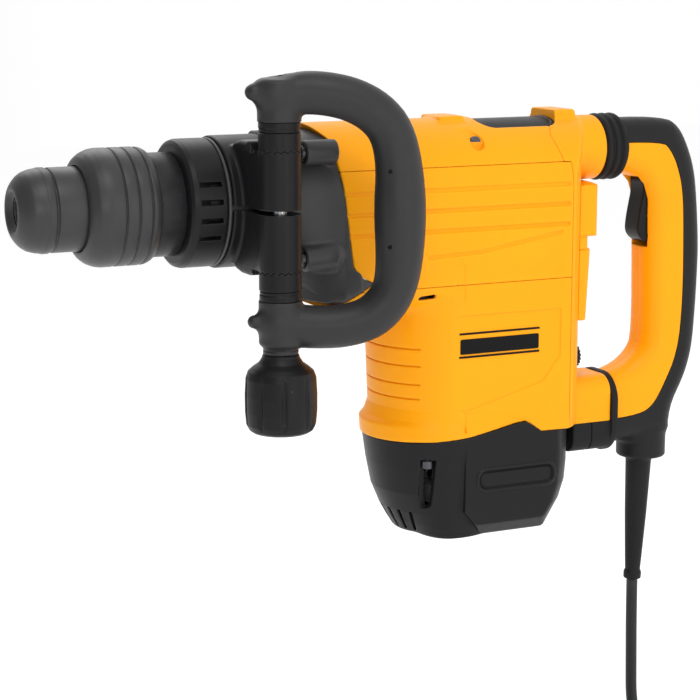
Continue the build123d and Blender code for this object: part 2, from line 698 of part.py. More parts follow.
def rounded_path(points):
    """Straight runs joined by the largest tangent arcs that both runs allow."""
    radii = []
    for before, here, after in zip(points, points[1:], points[2:]):
        run_in, run_out = Vector(*here) - Vector(*before), Vector(*after) - Vector(*here)
        half_turn = radians(run_in.get_angle(run_out)) / 2
        radii.append(0.45 * min(run_in.length, run_out.length) / tan(half_turn))
    return FilletPolyline(*points, radius=radii), radii


def cord_tube(name, points):
    """Round tube along a route; prints its bend radii and compares its volume."""
    path, radii = rounded_path(points)
    section = Plane(origin=path @ 0, z_dir=path % 0) * Circle(CORD_R)
    tube = sweep(section, path=path)
    expected = pi * CORD_R**2 * path.length
    print(name, "length", round(path.length, 1), "volume ratio", round(tube.volume / expected, 4))
    print(name, "bend radii", [round(r, 1) for r in radii])
    return tube


def coil_length():
    """Length of cord wound into the coil."""
    mean_radius = (COIL_OUTER + COIL_INNER) / 2
    return 2 * pi * mean_radius * TURNS_PER_LAYER * COIL_LAYERS


def cord_coil():
    """Outer shape of the wound cord."""
    low = SURFACE_Z + 1
    high = low + 2 * CORD_R * COIL_LAYERS
    return tube_z(low, high, COIL_OUTER + CORD_R, COIL_INNER - CORD_R, *COIL_CENTRE)


def coil_tie():
    """Strap that holds the coil together."""
    x, y = COIL_CENTRE
    low, high = SURFACE_Z, SURFACE_Z + 2 + 2 * CORD_R * COIL_LAYERS
    inner, outer = COIL_INNER - CORD_R, COIL_OUTER + CORD_R
    strap = block(x - 6, x + 6, y + inner - 1.2, y + outer + 1.4, low, high)
    return strap - block(x - 6, x + 6, y + inner - 0.1, y + outer + 0.2, low + 1, high - 1)


PLUG_TURN = 105.0


def plug_body():
    """Moulded two-pin mains plug lying on its flat side."""
    grip = Pos(22.5, 0, 0) * Box(35, 32, 16)
    grip = fillet(grip.edges().filter_by(Axis.X), 6)
    nose = Pos(2.5, 0, 0) * Rot(0, 90, 0) * Cylinder(7.5, 5)
    return Pos(*LEAD_ROUTE[-1]) * Rot(0, 0, PLUG_TURN) * (grip + nose)


def plug_pins():
    """Two round contact pins."""
    pins = None
    for across in (-9.5, 9.5):
        pin = Pos(49.5, across, 0) * Rot(0, 90, 0) * Cylinder(2.4, 19)
        pin = chamfer(pin.edges().group_by(Axis.X)[-1], 0.8)
        pins = pin if pins is None else pins + pin
    return Pos(*LEAD_ROUTE[-1]) * Rot(0, 0, PLUG_TURN) * pins


# ---------------------------------------------------------------- side handle
def clamp_half(side):
    """Half of the band clamp, with its column block and far-side hinge lugs."""
    outer = tube_x(CLAMP_FRONT, CLAMP_BACK, CLAMP_R)
    outer += block(149, 177, COLUMN_Y, -20, -JOINT_Z, JOINT_Z) + block(149, 177, -58, -20, -47, 47)
    outer += tube_z(-JOINT_Z, JOINT_Z, COLUMN_R, x=COLUMN_X, y=COLUMN_Y)
    lug_reach = (45, HINGE_Y + 4, -4.5, 4.5)
    if side > 0:
        half = outer & block(CLAMP_FRONT, 185, -100, 60, 1.5, 60)
        lugs = block(CLAMP_FRONT + 0.5, 151, *lug_reach) + block(167.5, CLAMP_BACK, *lug_reach)
    else:
        half = outer & block(CLAMP_FRONT, 185, -100, 60, -60, -1.5)
        lugs = block(151.2, 167.3, *lug_reach)
    half += lugs - block(CLAMP_FRONT, 185, 40, 49.3, *sorted((0, -side * 10)))
    half -= tube_x(CLAMP_FRONT, 185, SEAT_R + RUN) + tube_x(CLAMP_FRONT, 185, 2.5, y=HINGE_Y)
    return half - tube_z(-50, 50, BOLT_R, x=COLUMN_X, y=COLUMN_Y)


def clamp_hinge_pin():
    """Pin that joins the two clamp halves on the far side."""
    return tube_x(CLAMP_FRONT + 0.5, CLAMP_BACK, 2.5, y=HINGE_Y)


def clamp_bolt():
    """Long stud through the whole column, drawn tight by the knob."""
    return tube_z(-124, 80, BOLT_R, x=COLUMN_X, y=COLUMN_Y)


def column_rings():
    """Toothed bush and rubber damper ring at each end of the clamp's column."""
    rings = []
    for side in (-1, 1):
        for near, far in ((JOINT_Z + 0.3, DAMPER_LOW), (DAMPER_LOW, DAMPER_HIGH)):
            low, high = sorted((side * near, side * far))
            rings.append(tube_z(low, high, COLUMN_R, BOLT_R + RUN, x=COLUMN_X, y=COLUMN_Y))
    return Compound(children=rings)


def loop_path_points():
    """Centre line of the loop in its own plane, as (distance out, height)."""
    return [(0, 79), (45, 80), (74, 63), (83, 32), (83, -32), (75, -65), (45, -81), (0, -79)]


def side_loop():
    """Closed loop grip between the two column bosses."""
    out_x, out_y = cos(radians(LOOP_ANGLE)), -sin(radians(LOOP_ANGLE))
    points = [(COLUMN_X + s * out_x, COLUMN_Y + s * out_y, z) for s, z in loop_path_points()]
    path = FilletPolyline(*points, radius=[30, 30, 40, 40, 30, 30])
    section = Plane(origin=path @ 0, z_dir=path % 0) * Circle(LOOP_ARM_R)
    loop = sweep(section, path=path)
    grip_x, grip_y = COLUMN_X + 83 * out_x, COLUMN_Y + 83 * out_y
    loop += tube_z(-34, 34, LOOP_GRIP_R, x=grip_x, y=grip_y)
    loop += tube_z(DAMPER_HIGH, 90, 16, x=COLUMN_X, y=COLUMN_Y)
    loop += tube_z(-93, -DAMPER_HIGH, 16, x=COLUMN_X, y=COLUMN_Y)
    loop += tube_z(-99.3, -93, 12.5, x=COLUMN_X, y=COLUMN_Y)
    loop += tube_x(138, COLUMN_X, 6.5, y=COLUMN_Y, z=82)
    loop += tube_x(138, COLUMN_X, 6.5, y=COLUMN_Y, z=-75)
    loop -= tube_z(DAMPER_HIGH, 80.3, BOLT_R + RUN, x=COLUMN_X, y=COLUMN_Y)
    return loop - tube_z(-100, -DAMPER_HIGH, BOLT_R + RUN, x=COLUMN_X, y=COLUMN_Y)


def knob():
    """Lobed clamping knob below the column."""
    body = tube_z(-155, -108, 25.5, x=COLUMN_X, y=COLUMN_Y)
    body = chamfer(body.edges(), 5)
    for k in range(9):
        angle = radians(40 * k)
        body -= tube_z(-155, -112, 2.2, x=COLUMN_X + 25.5 * cos(angle), y=COLUMN_Y + 25.5 * sin(angle))
    neck = Pos(COLUMN_X, COLUMN_Y, -104) * Cone(18, 12.5, 8)
    return body + neck - tube_z(-138, -99, 8, x=COLUMN_X, y=COLUMN_Y)


def knob_nut():
    """Threaded insert of the knob."""
    return tube_z(-138, -100.2, 8, BOLT_R + RUN, x=COLUMN_X, y=COLUMN_Y)


# ---------------------------------------------------------------- all pieces
PIECES = {
    "nose_cap": nose_cap,
    "tool_holder": tool_holder,
    "locking_roller_upper": lambda: locking_roller(1),
    "locking_roller_lower": lambda: locking_roller(-1),
    "release_collar": release_collar,
    "collar_spring": collar_spring,
    "neck_sleeve": neck_sleeve,
    "index_ring": index_ring,
    "bearings": bearings,
    "gearbox_housing": gearbox_housing,
    "housing_screws": housing_screws,
    "crankcase_lid": crankcase_lid,
    "cylinder": cylinder,
    "beat_piece": beat_piece,
    "striker": striker,
    "piston": piston,
    "con_rod": con_rod,
    "crankshaft": crankshaft,
    "armature_shaft": armature_shaft,
    "armature_core": armature_core,
    "commutator": commutator,
    "cooling_fan": cooling_fan,
    "stator": stator,
    "carbon_brushes": carbon_brushes,
    "brush_bridge": brush_bridge,
    "top_cover": top_cover,
    "top_insert": top_insert,
    "side_cover_left": lambda: side_cover(-1),
    "side_cover_right": lambda: side_cover(1),
    "motor_housing": motor_housing,
    "badges": badges,
    "motor_end_cap": motor_end_cap,
    "rear_housing": rear_housing,
    "rear_cover": rear_cover,
    "control_module": control_module,
    "speed_dial": speed_dial,
    "handle_shell_left": lambda: handle_shell(-1),
    "handle_shell_right": lambda: handle_shell(1),
    "handle_overmold": handle_overmold,
    "handle_pivot_pin": handle_pivot_pin,
    "handle_bellows": handle_bellows,
    "isolator_spring": isolator_spring,
    "lower_boot": lower_boot,
    "trigger": trigger,
    "switch_body": switch_body,
    "strain_relief": strain_relief,
    "mains_cord": lambda: cord_tube("mains_cord", HANGING_ROUTE),
    "cord_coil": cord_coil,
    "coil_tie": coil_tie,
    "plug_lead": lambda: cord_tube("plug_lead", LEAD_ROUTE),
    "plug_body": plug_body,
    "plug_pins": plug_pins,
    "clamp_upper": lambda: clamp_half(1),
    "clamp_lower": lambda: clamp_half(-1),
    "clamp_hinge_pin": clamp_hinge_pin,
    "clamp_bolt": clamp_bolt,
    "side_loop": side_loop,
    "column_rings": column_rings,
    "knob": knob,
    "knob_nut": knob_nut,
}


def main():
    """Builds and writes every piece."""
    for name, make in PIECES.items():
        export_step(make(), f"parts/{name}.step")
    print("coil length", round(coil_length(), 1))


main()
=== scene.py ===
"""Looks of the demolition hammer: every visible shell is meshed from rounded shape functions.

Shapes are written in millimetres in the model's own frame and scaled to metres when
they are meshed. A shape is a function of x, y and z that is negative inside the piece.
"""

import functools
import math

import bmesh
import bpy
import numpy as np
import openvdb
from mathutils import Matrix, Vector
from numpy import maximum, minimum


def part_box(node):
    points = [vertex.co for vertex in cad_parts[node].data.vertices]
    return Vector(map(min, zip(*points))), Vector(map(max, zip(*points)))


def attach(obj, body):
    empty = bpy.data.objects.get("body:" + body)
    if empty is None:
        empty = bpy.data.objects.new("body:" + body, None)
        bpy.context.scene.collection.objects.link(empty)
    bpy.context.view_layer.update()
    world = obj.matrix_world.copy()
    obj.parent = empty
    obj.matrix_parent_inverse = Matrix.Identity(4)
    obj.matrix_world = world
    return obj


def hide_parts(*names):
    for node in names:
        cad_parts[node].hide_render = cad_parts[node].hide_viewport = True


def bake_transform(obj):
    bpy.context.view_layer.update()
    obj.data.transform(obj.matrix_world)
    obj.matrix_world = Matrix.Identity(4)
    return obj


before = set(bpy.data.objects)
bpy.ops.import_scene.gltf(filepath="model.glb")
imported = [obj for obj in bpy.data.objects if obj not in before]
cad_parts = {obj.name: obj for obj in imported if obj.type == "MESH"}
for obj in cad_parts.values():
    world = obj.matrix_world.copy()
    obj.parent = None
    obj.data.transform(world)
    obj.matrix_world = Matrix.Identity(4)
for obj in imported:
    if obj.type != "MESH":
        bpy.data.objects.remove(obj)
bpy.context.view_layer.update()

MM = 0.001

# -------- driving sizes (mm)
HALF_WIDTH = 54.0
BARREL_Z = 0.4  # axis of the half-round top
TOP_Z = BARREL_Z + HALF_WIDTH
BELLY_Z = -78.0
SHELL_WALL = 3.0
SEAM_TOP = 22.2
SEAM_SIDE = -65.0
FRONT_CENTRE_X = 325.0
CROWN_X, CROWN_R = 370.0, 70.0  # the rear face is an arc about this line
CAP_HALF = 56.5
ARM_BACK, ARM_BOTTOM, ARM_TOP = 468.0, -187.0, -151.0
DIAL_Z = -137.0
PIVOT_X, PIVOT_Z = 486.0, -172.0
SEAT_FRONT_X, SEAT_R = 140.5, 44.0
HINGE_Y = 53.0
COLUMN_X, COLUMN_Y, COLUMN_R = 163.0, -76.0, 14.8
LOOP_ANGLE = math.radians(20)
JOINT_Z = 41.5
JOINT_TEETH = 18
DAMPER_FACE = 62.0
SOCKET_Z = 27.5
CORD_R = 4.7
SURFACE_Z = -511.0
TOP_SCREW_X, TOP_SCREW_Z, TOP_SCREW_FLOOR = 338.0, 38.3, 36.6
SEAM_GAP = 0.14  # half the gap between two housing pieces


# -------- shape functions
def norm(*parts):
    """Length of a vector given by its components."""
    return np.sqrt(sum(p * p for p in parts))


def smooth_step(low, high, value):
    """0 below low, 1 above high, smooth between; low may be the larger."""
    t = np.clip((value - low) / (high - low), 0, 1)
    return t * t * (3 - 2 * t)


def join(a, b, radius):
    """Union of two shapes with a fillet."""
    near = maximum(radius - abs(a - b), 0)
    return minimum(a, b) - near * near / (4 * maximum(radius, 1e-6))


def union(shapes):
    """Union of several shapes without a fillet."""
    return functools.reduce(minimum, shapes)


def meet(a, b, radius=0.6):
    """Common part of two shapes with a rounded edge."""
    return -join(-a, -b, radius)


def cut(a, b, radius=0.6):
    """The first shape without the second, its edge rounded."""
    return meet(a, -b, radius)


def round_pair(u, v, edge):
    """Distance to a corner of two faces, rounded by edge."""
    u, v = u + edge, v + edge
    return minimum(maximum(u, v), 0) + norm(maximum(u, 0), maximum(v, 0)) - edge


def brick(x, y, z, low, high, edge=0.0):
    """Box between two corners with rounded edges."""
    parts = []
    for value, lo, hi in zip((x, y, z), low, high):
        parts.append(abs(value - (lo + hi) / 2) - (hi - lo) / 2 + edge)
    outside = norm(*[maximum(p, 0) for p in parts])
    inside = minimum(maximum(maximum(parts[0], parts[1]), parts[2]), 0)
    return outside + inside - edge


def rod(along, u, v, radius, start, end, edge=0.0):
    """Cylinder about the line u = v = 0 from start to end, its rims rounded."""
    return round_pair(norm(u, v) - radius, abs(along - (start + end) / 2) - (end - start) / 2, edge)


def panel(u, v, half_u, half_v, corner):
    """Rounded rectangle about the origin, in two dimensions."""
    return round_pair(abs(u) - half_u, abs(v) - half_v, corner)


def outline_distance(u, v, points):
    """Signed distance to a closed outline in two dimensions."""
    best = None
    inside = None
    for (au, av), (bu, bv) in zip(points, points[1:] + points[:1]):
        eu, ev = bu - au, bv - av
        wu, wv = u - au, v - av
        t = np.clip((wu * eu + wv * ev) / (eu * eu + ev * ev), 0, 1)
        square = (wu - eu * t) ** 2 + (wv - ev * t) ** 2
        crosses = ((av > v) != (bv > v)) & ((wu < eu * wv / ev) if ev else False)
        best = square if best is None else minimum(best, square)
        inside = crosses if inside is None else inside ^ crosses
    return np.where(inside, -1, 1) * np.sqrt(best)


def rounded(points, passes=2):
    """Outline with its corners cut to a smooth curve; a point given twice stays sharper."""
    for _ in range(passes):
        finer = []
        for (au, av), (bu, bv) in zip(points, points[1:] + points[:1]):
            if math.hypot(bu - au, bv - av) > 1e-6:
                finer.append((au * 0.75 + bu * 0.25, av * 0.75 + bv * 0.25))
                finer.append((au * 0.25 + bu * 0.75, av * 0.25 + bv * 0.75))
        points = finer
    return points


def plate(u, v, w, points, low, high, edge=0.0):
    """Outline in u and v as a plate from low to high along w, its edges rounded."""
    return round_pair(outline_distance(u, v, points), abs(w - (low + high) / 2) - (high - low) / 2, edge)


def limb(x, y, z, start, end, start_r, end_r):
    """Round bar between two points whose radius changes evenly."""
    (ax, ay, az), (bx, by, bz) = start, end
    dx, dy, dz = bx - ax, by - ay, bz - az
    t = np.clip(((x - ax) * dx + (y - ay) * dy + (z - az) * dz) / (dx * dx + dy * dy + dz * dz), 0, 1)
    return norm(x - ax - dx * t, y - ay - dy * t, z - az - dz * t) - (start_r + (end_r - start_r) * t)


# -------- meshing
def add_object(name, data):
    """Puts new data into the scene as an object."""
    thing = bpy.data.objects.new(name, data)
    bpy.context.scene.collection.objects.link(thing)
    return thing


def new_object(name, mesh, material):
    """Makes a mesh an object with one material and smooth faces."""
    for polygon in mesh.polygons:
        polygon.use_smooth = True
    mesh.materials.append(material)
    return add_object(name, mesh)


def settle_points(shape, points, voxel):
    """Moves meshed points onto the exact surface of the shape."""
    step = voxel * 0.25
    for _ in range(2):
        x, y, z = points.T
        value = shape(x, y, z)
        slope = np.stack([
            shape(x + step, y, z) - shape(x - step, y, z),
            shape(x, y + step, z) - shape(x, y - step, z),
            shape(x, y, z + step) - shape(x, y, z - step),
        ], axis=1) / (2 * step)
        steep = maximum((slope * slope).sum(axis=1), 0.3)
        move = -slope * (value / steep)[:, None]
        points = points + np.clip(move, -voxel * 0.4, voxel * 0.4)
    return points


def sculpt(name, shape, low, high, voxel, material):
    """Meshes the inside of a shape within the box from low to high."""
    low = np.array(low, float) - 2.5 * voxel
    counts = np.ceil((np.array(high, float) + 2.5 * voxel - low) / voxel).astype(int) + 1
    axes = [low[k] + voxel * np.arange(counts[k]) for k in range(3)]
    field = shape(axes[0][:, None, None], axes[1][None, :, None], axes[2][None, None, :])
    field = np.ascontiguousarray(np.broadcast_to(field, counts) / voxel, dtype=np.float32)
    grid = openvdb.FloatGrid(3.0)
    grid.copyFromArray(np.clip(field, -3, 3))
    points, quads = grid.convertToQuads(isovalue=0.0)
    points = settle_points(shape, points.astype(float) * voxel + low, voxel)
    a, b, c = (points[quads[:, k]] for k in range(3))
    if (np.cross(b - a, c - a) * a).sum() < 0:
        quads = quads[:, ::-1]
    mesh = bpy.data.meshes.new(name)
    mesh.from_pydata(points * MM, [], quads.tolist())
    mesh.update()
    return new_object(name, mesh, material)


def lathe(name, profile, material, origin=(0, 0, 0), direction=(1, 0, 0), segments=160):
    """Turns a closed profile of (distance along, radius) points about an axis."""
    start, axis = Vector(origin), Vector(direction).normalized()
    side = axis.orthogonal().normalized()
    other = axis.cross(side)
    shape = bmesh.new()
    rings = []
    for k in range(segments):
        turn = 2 * math.pi * k / segments
        out = side * math.cos(turn) + other * math.sin(turn)
        rings.append([shape.verts.new((start + axis * t + out * r) * MM) for t, r in profile])
    count = len(profile)
    for k in range(segments):
        here, there = rings[k], rings[(k + 1) % segments]
        for i in range(count):
            j = (i + 1) % count
            shape.faces.new((here[i], here[j], there[j], there[i]))
    bmesh.ops.recalc_face_normals(shape, faces=shape.faces)
    mesh = bpy.data.meshes.new(name)
    shape.to_mesh(mesh)
    shape.free()
    return new_object(name, mesh, material)


def soft_profile(points, passes, keep):
    """Closed lathe profile whose corners are rounded by about keep mm."""
    for step in range(passes):
        finer = []
        count = len(points)
        for i in range(count):
            (pt, pr), (t, r), (nt, nr) = points[i - 1], points[i], points[(i + 1) % count]
            before, after = math.hypot(t - pt, r - pr), math.hypot(nt - t, nr - r)
            reach = keep / (2.2**step)
            for length, (qt, qr) in ((before, (pt, pr)), (after, (nt, nr))):
                share = min(0.33, reach / max(length, 1e-6))
                finer.append((t + (qt - t) * share, r + (qr - r) * share))
        points = finer
    return points


# -------- materials
def node_material(name):
    """New node material, with its nodes, its links and its shader."""
    material = bpy.data.materials.new(name)
    material.use_nodes = True
    nodes = material.node_tree.nodes
    return material, nodes, material.node_tree.links, nodes["Principled BSDF"]


def set_inputs(node, **values):
    """Sets a node's inputs by name, an underscore standing for a space."""
    for name, value in values.items():
        node.inputs[name.replace("_", " ")].default_value = value


def add_bump(nodes, links, source, strength, distance, shader):
    """Fine relief on a shader from a 0..1 value."""
    bump = nodes.new("ShaderNodeBump")
    set_inputs(bump, Strength=strength, Distance=distance)
    links.new(source, bump.inputs["Height"])
    links.new(bump.outputs["Normal"], shader.inputs["Normal"])


def add_noise(nodes, links, scale, detail=4.0, roughness=0.6):
    """Object-space noise that keeps its size on every piece."""
    place = nodes.new("ShaderNodeTexCoord")
    noise = nodes.new("ShaderNodeTexNoise")
    set_inputs(noise, Scale=scale, Detail=detail, Roughness=roughness)
    links.new(place.outputs["Object"], noise.inputs["Vector"])
    return noise


def add_range(nodes, links, source, low, high):
    """Maps a 0..1 value onto a range."""
    remap = nodes.new("ShaderNodeMapRange")
    set_inputs(remap, To_Min=low, To_Max=high)
    links.new(source, remap.inputs["Value"])
    return remap.outputs["Result"]


def add_mix(nodes, links, factor, low, high):
    """Mixes two colours by a 0..1 value."""
    mix = nodes.new("ShaderNodeMix")
    mix.data_type = "RGBA"
    set_inputs(mix, A=(*low, 1), B=(*high, 1))
    links.new(factor, mix.inputs["Factor"])
    return mix.outputs["Result"]


def moulded(name, colour, worn, roughness, grain, grain_depth, sheen=0.0, specular=0.5):
    """Moulded plastic or rubber: fine grain, faint colour drift and paler worn edges."""
    material, nodes, links, shader = node_material(name)
    drift = add_noise(nodes, links, 18, 3)
    darker, lighter = [c * 0.93 for c in colour], [min(1, c * 1.05) for c in colour]
    tone = add_mix(nodes, links, drift.outputs["Fac"], darker, lighter)
    geometry = nodes.new("ShaderNodeNewGeometry")
    edge = nodes.new("ShaderNodeMapRange")
    set_inputs(edge, From_Min=0.52, From_Max=0.60)
    links.new(geometry.outputs["Pointiness"], edge.inputs["Value"])
    scuffs = add_noise(nodes, links, 140, 5)
    wear = nodes.new("ShaderNodeMath")
    wear.operation = "MULTIPLY"
    links.new(edge.outputs["Result"], wear.inputs[0])
    links.new(scuffs.outputs["Fac"], wear.inputs[1])
    finish = nodes.new("ShaderNodeMix")
    finish.data_type = "RGBA"
    set_inputs(finish, B=(*worn, 1))
    links.new(wear.outputs["Value"], finish.inputs["Factor"])
    links.new(tone, finish.inputs["A"])
    links.new(finish.outputs["Result"], shader.inputs["Base Color"])
    gloss = add_range(nodes, links, scuffs.outputs["Fac"], roughness - 0.06, roughness + 0.06)
    links.new(gloss, shader.inputs["Roughness"])
    texture = add_noise(nodes, links, grain, 2)
    add_bump(nodes, links, texture.outputs["Fac"], grain_depth, 0.0002, shader)
    set_inputs(shader, Sheen_Weight=sheen, Specular_IOR_Level=specular)
    return material


def metal(name, colour, roughness, scratch_scale=90):
    """Machined metal with fine turning marks."""
    material, nodes, links, shader = node_material(name)
    marks = add_noise(nodes, links, scratch_scale, 6, 0.7)
    tone = add_mix(nodes, links, marks.outputs["Fac"], [c * 0.8 for c in colour], colour)
    links.new(tone, shader.inputs["Base Color"])
    gloss = add_range(nodes, links, marks.outputs["Fac"], roughness * 0.7, roughness * 1.3)
    links.new(gloss, shader.inputs["Roughness"])
    set_inputs(shader, Metallic=1.0)
    add_bump(nodes, links, marks.outputs["Fac"], 0.1, 0.0001, shader)
    return material


# name, colour, worn colour, roughness, grain scale and depth
YELLOW = moulded("yellow_housing", (0.96, 0.365, 0.003), (0.97, 0.48, 0.03), 0.36, 1800, 0.10, specular=0.15)
BLACK = moulded("black_plastic", (0.008, 0.008, 0.009), (0.04, 0.04, 0.042), 0.38, 2200, 0.22, specular=0.18)
NOSE_BLACK = moulded(
    "nose_plastic", (0.024, 0.024, 0.025), (0.07, 0.07, 0.072), 0.40, 2200, 0.25, specular=0.40,
)
RUBBER = moulded(
    "black_rubber", (0.011, 0.011, 0.012), (0.035, 0.035, 0.038), 0.52, 2600, 0.35, specular=0.15,
)
GRIP = moulded(
    "grip_rubber", (0.016, 0.016, 0.017), (0.05, 0.05, 0.052), 0.46, 2600, 0.30, sheen=0.02, specular=0.35,
)
SKIN = moulded("handle_skin", (0.008, 0.008, 0.009), (0.03, 0.03, 0.032), 0.46, 2600, 0.30, specular=0.22)
CASTING = moulded(
    "cast_housing", (0.042, 0.042, 0.044), (0.10, 0.10, 0.105), 0.42, 1100, 0.45, specular=0.35,
)
SHEATH = moulded("cord_sheath", (0.010, 0.010, 0.011), (0.04, 0.04, 0.04), 0.45, 1500, 0.2, specular=0.3)
STEEL = metal("bright_steel", (0.62, 0.62, 0.64), 0.28)
DARK_STEEL = metal("dark_steel", (0.10, 0.10, 0.11), 0.38)
COPPER = metal("copper", (0.72, 0.36, 0.18), 0.35)
ALUMINIUM = metal("aluminium", (0.70, 0.70, 0.72), 0.45, 60)
GREY = moulded("grey_plastic", (0.18, 0.19, 0.20), (0.3, 0.3, 0.3), 0.5, 1500, 0.2)
PRINT = moulded("badge_print", (0.006, 0.006, 0.006), (0.02, 0.02, 0.02), 0.40, 1500, 0.1, specular=0.1)


# -------- camera, floor and light
TARGET = Vector((0.2527, 0, -0.1171))  # middle of the tool, in metres
VIEW_AZIMUTH, VIEW_ELEVATION = math.radians(25.5), math.radians(10.7)
VIEW_DISTANCE = 1.5305
LENS_MM, SENSOR_MM = 104.91, 36
LAMPS = (  # name, place in metres, width, height, power
    ("key_light", (-0.1, -1.0, 1.7), 1.1, 1.1, 12),
    ("front_light", (-0.5, -1.5, 0.35), 0.45, 0.45, 4),
    ("right_strip", (0.6, -1.7, 0.2), 0.2, 1.3, 3),
    ("left_strip", (-1.6, 0.1, 0.3), 0.18, 1.3, 0.9),
    ("fill_light", (1.6, -1.2, 0.4), 1.4, 1.4, 2),
    ("rim_light", (0.3, 1.4, 1.2), 1.2, 1.2, 8),
)


def build_camera():
    """Camera at the viewing angle, aimed at the middle of the tool."""
    ahead = Vector((
        math.sin(VIEW_AZIMUTH) * math.cos(VIEW_ELEVATION),
        math.cos(VIEW_AZIMUTH) * math.cos(VIEW_ELEVATION),
        -math.sin(VIEW_ELEVATION),
    ))
    lens = bpy.data.cameras.new("camera")
    lens.lens = LENS_MM
    lens.sensor_width = SENSOR_MM
    camera = add_object("camera", lens)
    camera.location = TARGET - ahead * VIEW_DISTANCE
    camera.rotation_euler = ahead.to_track_quat("-Z", "Y").to_euler()
    bpy.context.scene.camera = camera


def build_floor():
    """Wide pale floor just under the coiled cord."""
    floor_mesh = bpy.data.meshes.new("floor")
    reach, depth = 6.0, SURFACE_Z * MM - 0.0005
    corners = [(x * reach, y * reach, depth) for x, y in ((-1, -1), (1, -1), (1, 1), (-1, 1))]
    floor_mesh.from_pydata(corners, [], [(0, 1, 2, 3)])
    floor = add_object("floor", floor_mesh)
    white, _, _, shader = node_material("pale_floor")
    set_inputs(shader, Base_Color=(0.9, 0.9, 0.9, 1), Roughness=0.9)
    set_inputs(shader, Emission_Color=(1, 1, 1, 1), Emission_Strength=0.28)
    floor_mesh.materials.append(white)


def build_light():
    """White room that is darker on the nose's side, and area lamps aimed at the tool."""
    world = bpy.data.worlds.new("studio")
    world.use_nodes = True
    nodes, links = world.node_tree.nodes, world.node_tree.links
    direction = nodes.new("ShaderNodeTexCoord")
    parts = nodes.new("ShaderNodeSeparateXYZ")
    strength = nodes.new("ShaderNodeMapRange")
    set_inputs(strength, From_Min=-1.0, From_Max=0.3, To_Min=0.22, To_Max=1.0)
    links.new(direction.outputs["Generated"], parts.inputs["Vector"])
    links.new(parts.outputs["X"], strength.inputs["Value"])
    links.new(strength.outputs["Result"], nodes["Background"].inputs["Strength"])
    set_inputs(nodes["Background"], Color=(1, 1, 1, 1))
    bpy.context.scene.world = world
    bpy.context.scene.view_settings.view_transform = "Standard"
    for name, place, width, height, power in LAMPS:
        light = bpy.data.lights.new(name, "AREA")
        light.shape = "RECTANGLE"
        light.size = width
        light.size_y = height
        light.energy = power
        source = add_object(name, light)
        source.location = place
        source.rotation_euler = (TARGET - Vector(place)).to_track_quat("-Z", "Y").to_euler()


# -------- mains cord
def millimetres(points):
    """Points in millimetres as points in metres."""
    return [tuple(c * MM for c in point) for point in points]


COIL_CENTRE = (438.0, -75.0)
COIL_OUTER, COIL_INNER = 73.0, 51.0
COIL_LAYERS = 4
TURNS_PER_LAYER = 7 / 3
LAYER_TOP_Z = SURFACE_Z + 1 + CORD_R + 2 * CORD_R * (COIL_LAYERS - 1)
HANGING_ROUTE = [
    (509.7, 0, -329), (510.4, 0.6, -362), (511, 0, -399), (511, -1.5, LAYER_TOP_Z + 41),
    (511, -16.5, LAYER_TOP_Z + 15), (511, -42.5, LAYER_TOP_Z + 0.3), (511, -75, LAYER_TOP_Z),
]
LEAD_ROUTE = [
    (401.5, -138.2, -505.3), (366.9, -118.2, -505.3), (343.9, -85.4, -504.4), (336.1, -56.4, -501.6),
]


def coil_points(per_turn=30):
    """Turns of the tied coil: in and out again, one layer below the other."""
    points = []
    total = TURNS_PER_LAYER * COIL_LAYERS
    count = round(total * per_turn)
    for k in range(1, count):
        turn = total * k / count
        layer = min(int(turn / TURNS_PER_LAYER), COIL_LAYERS - 1)
        share = turn / TURNS_PER_LAYER - layer
        inward = share if layer % 2 == 0 else 1 - share
        radius = COIL_OUTER + (COIL_INNER - COIL_OUTER) * inward
        drop = layer - 1 + float(smooth_step(0, 0.08, share)) if layer else 0.0
        angle = -2 * math.pi * turn
        points.append((
            COIL_CENTRE[0] + radius * math.cos(angle), COIL_CENTRE[1] + radius * math.sin(angle),
            LAYER_TOP_Z - 2 * CORD_R * drop,
        ))
    return points


def spline_object(name, points, radius, material):
    """Round cord along a smooth spline."""
    curve = bpy.data.curves.new(name, "CURVE")
    curve.dimensions = "3D"
    curve.bevel_depth = radius * MM
    curve.bevel_resolution = 5
    curve.resolution_u = 6
    curve.use_fill_caps = True
    spline = curve.splines.new("NURBS")
    spline.points.add(len(points) - 1)
    for point, place in zip(spline.points, points):
        point.co = (*place, 1)
    spline.order_u = 3
    spline.use_endpoint_u = True
    curve.materials.append(material)
    return add_object(name, curve)


def spring(name, start, end, radius, wire, turns, height):
    """Coil spring along X between two ends, as a mesh that replaces its CAD piece."""
    count = turns * 24
    points = []
    for k in range(count + 1):
        turn = 2 * math.pi * turns * k / count
        along = start + wire + (end - start - 2 * wire) * k / count
        points.append((along, radius * math.cos(turn), height + radius * math.sin(turn)))
    line = spline_object(name + "_line", millimetres(points), wire, DARK_STEEL)
    bpy.context.view_layer.update()
    mesh = bpy.data.meshes.new_from_object(line.evaluated_get(bpy.context.evaluated_depsgraph_get()))
    bpy.data.objects.remove(line)
    coil = new_object(name + "_coil", mesh, DARK_STEEL)
    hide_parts(name)
    return coil


def build_springs():
    """Springs between two bodies, meshed where they stand; in the tool they are pressed when the joint
    moves.
    """
    coil = spring("collar_spring", 54.3, 79.7, 33.5, 1.4, 4, 0)
    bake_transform(coil)
    coil = spring("isolator_spring", 457.2, 483.8, 13, 1.6, 5, SOCKET_Z)
    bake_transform(coil)


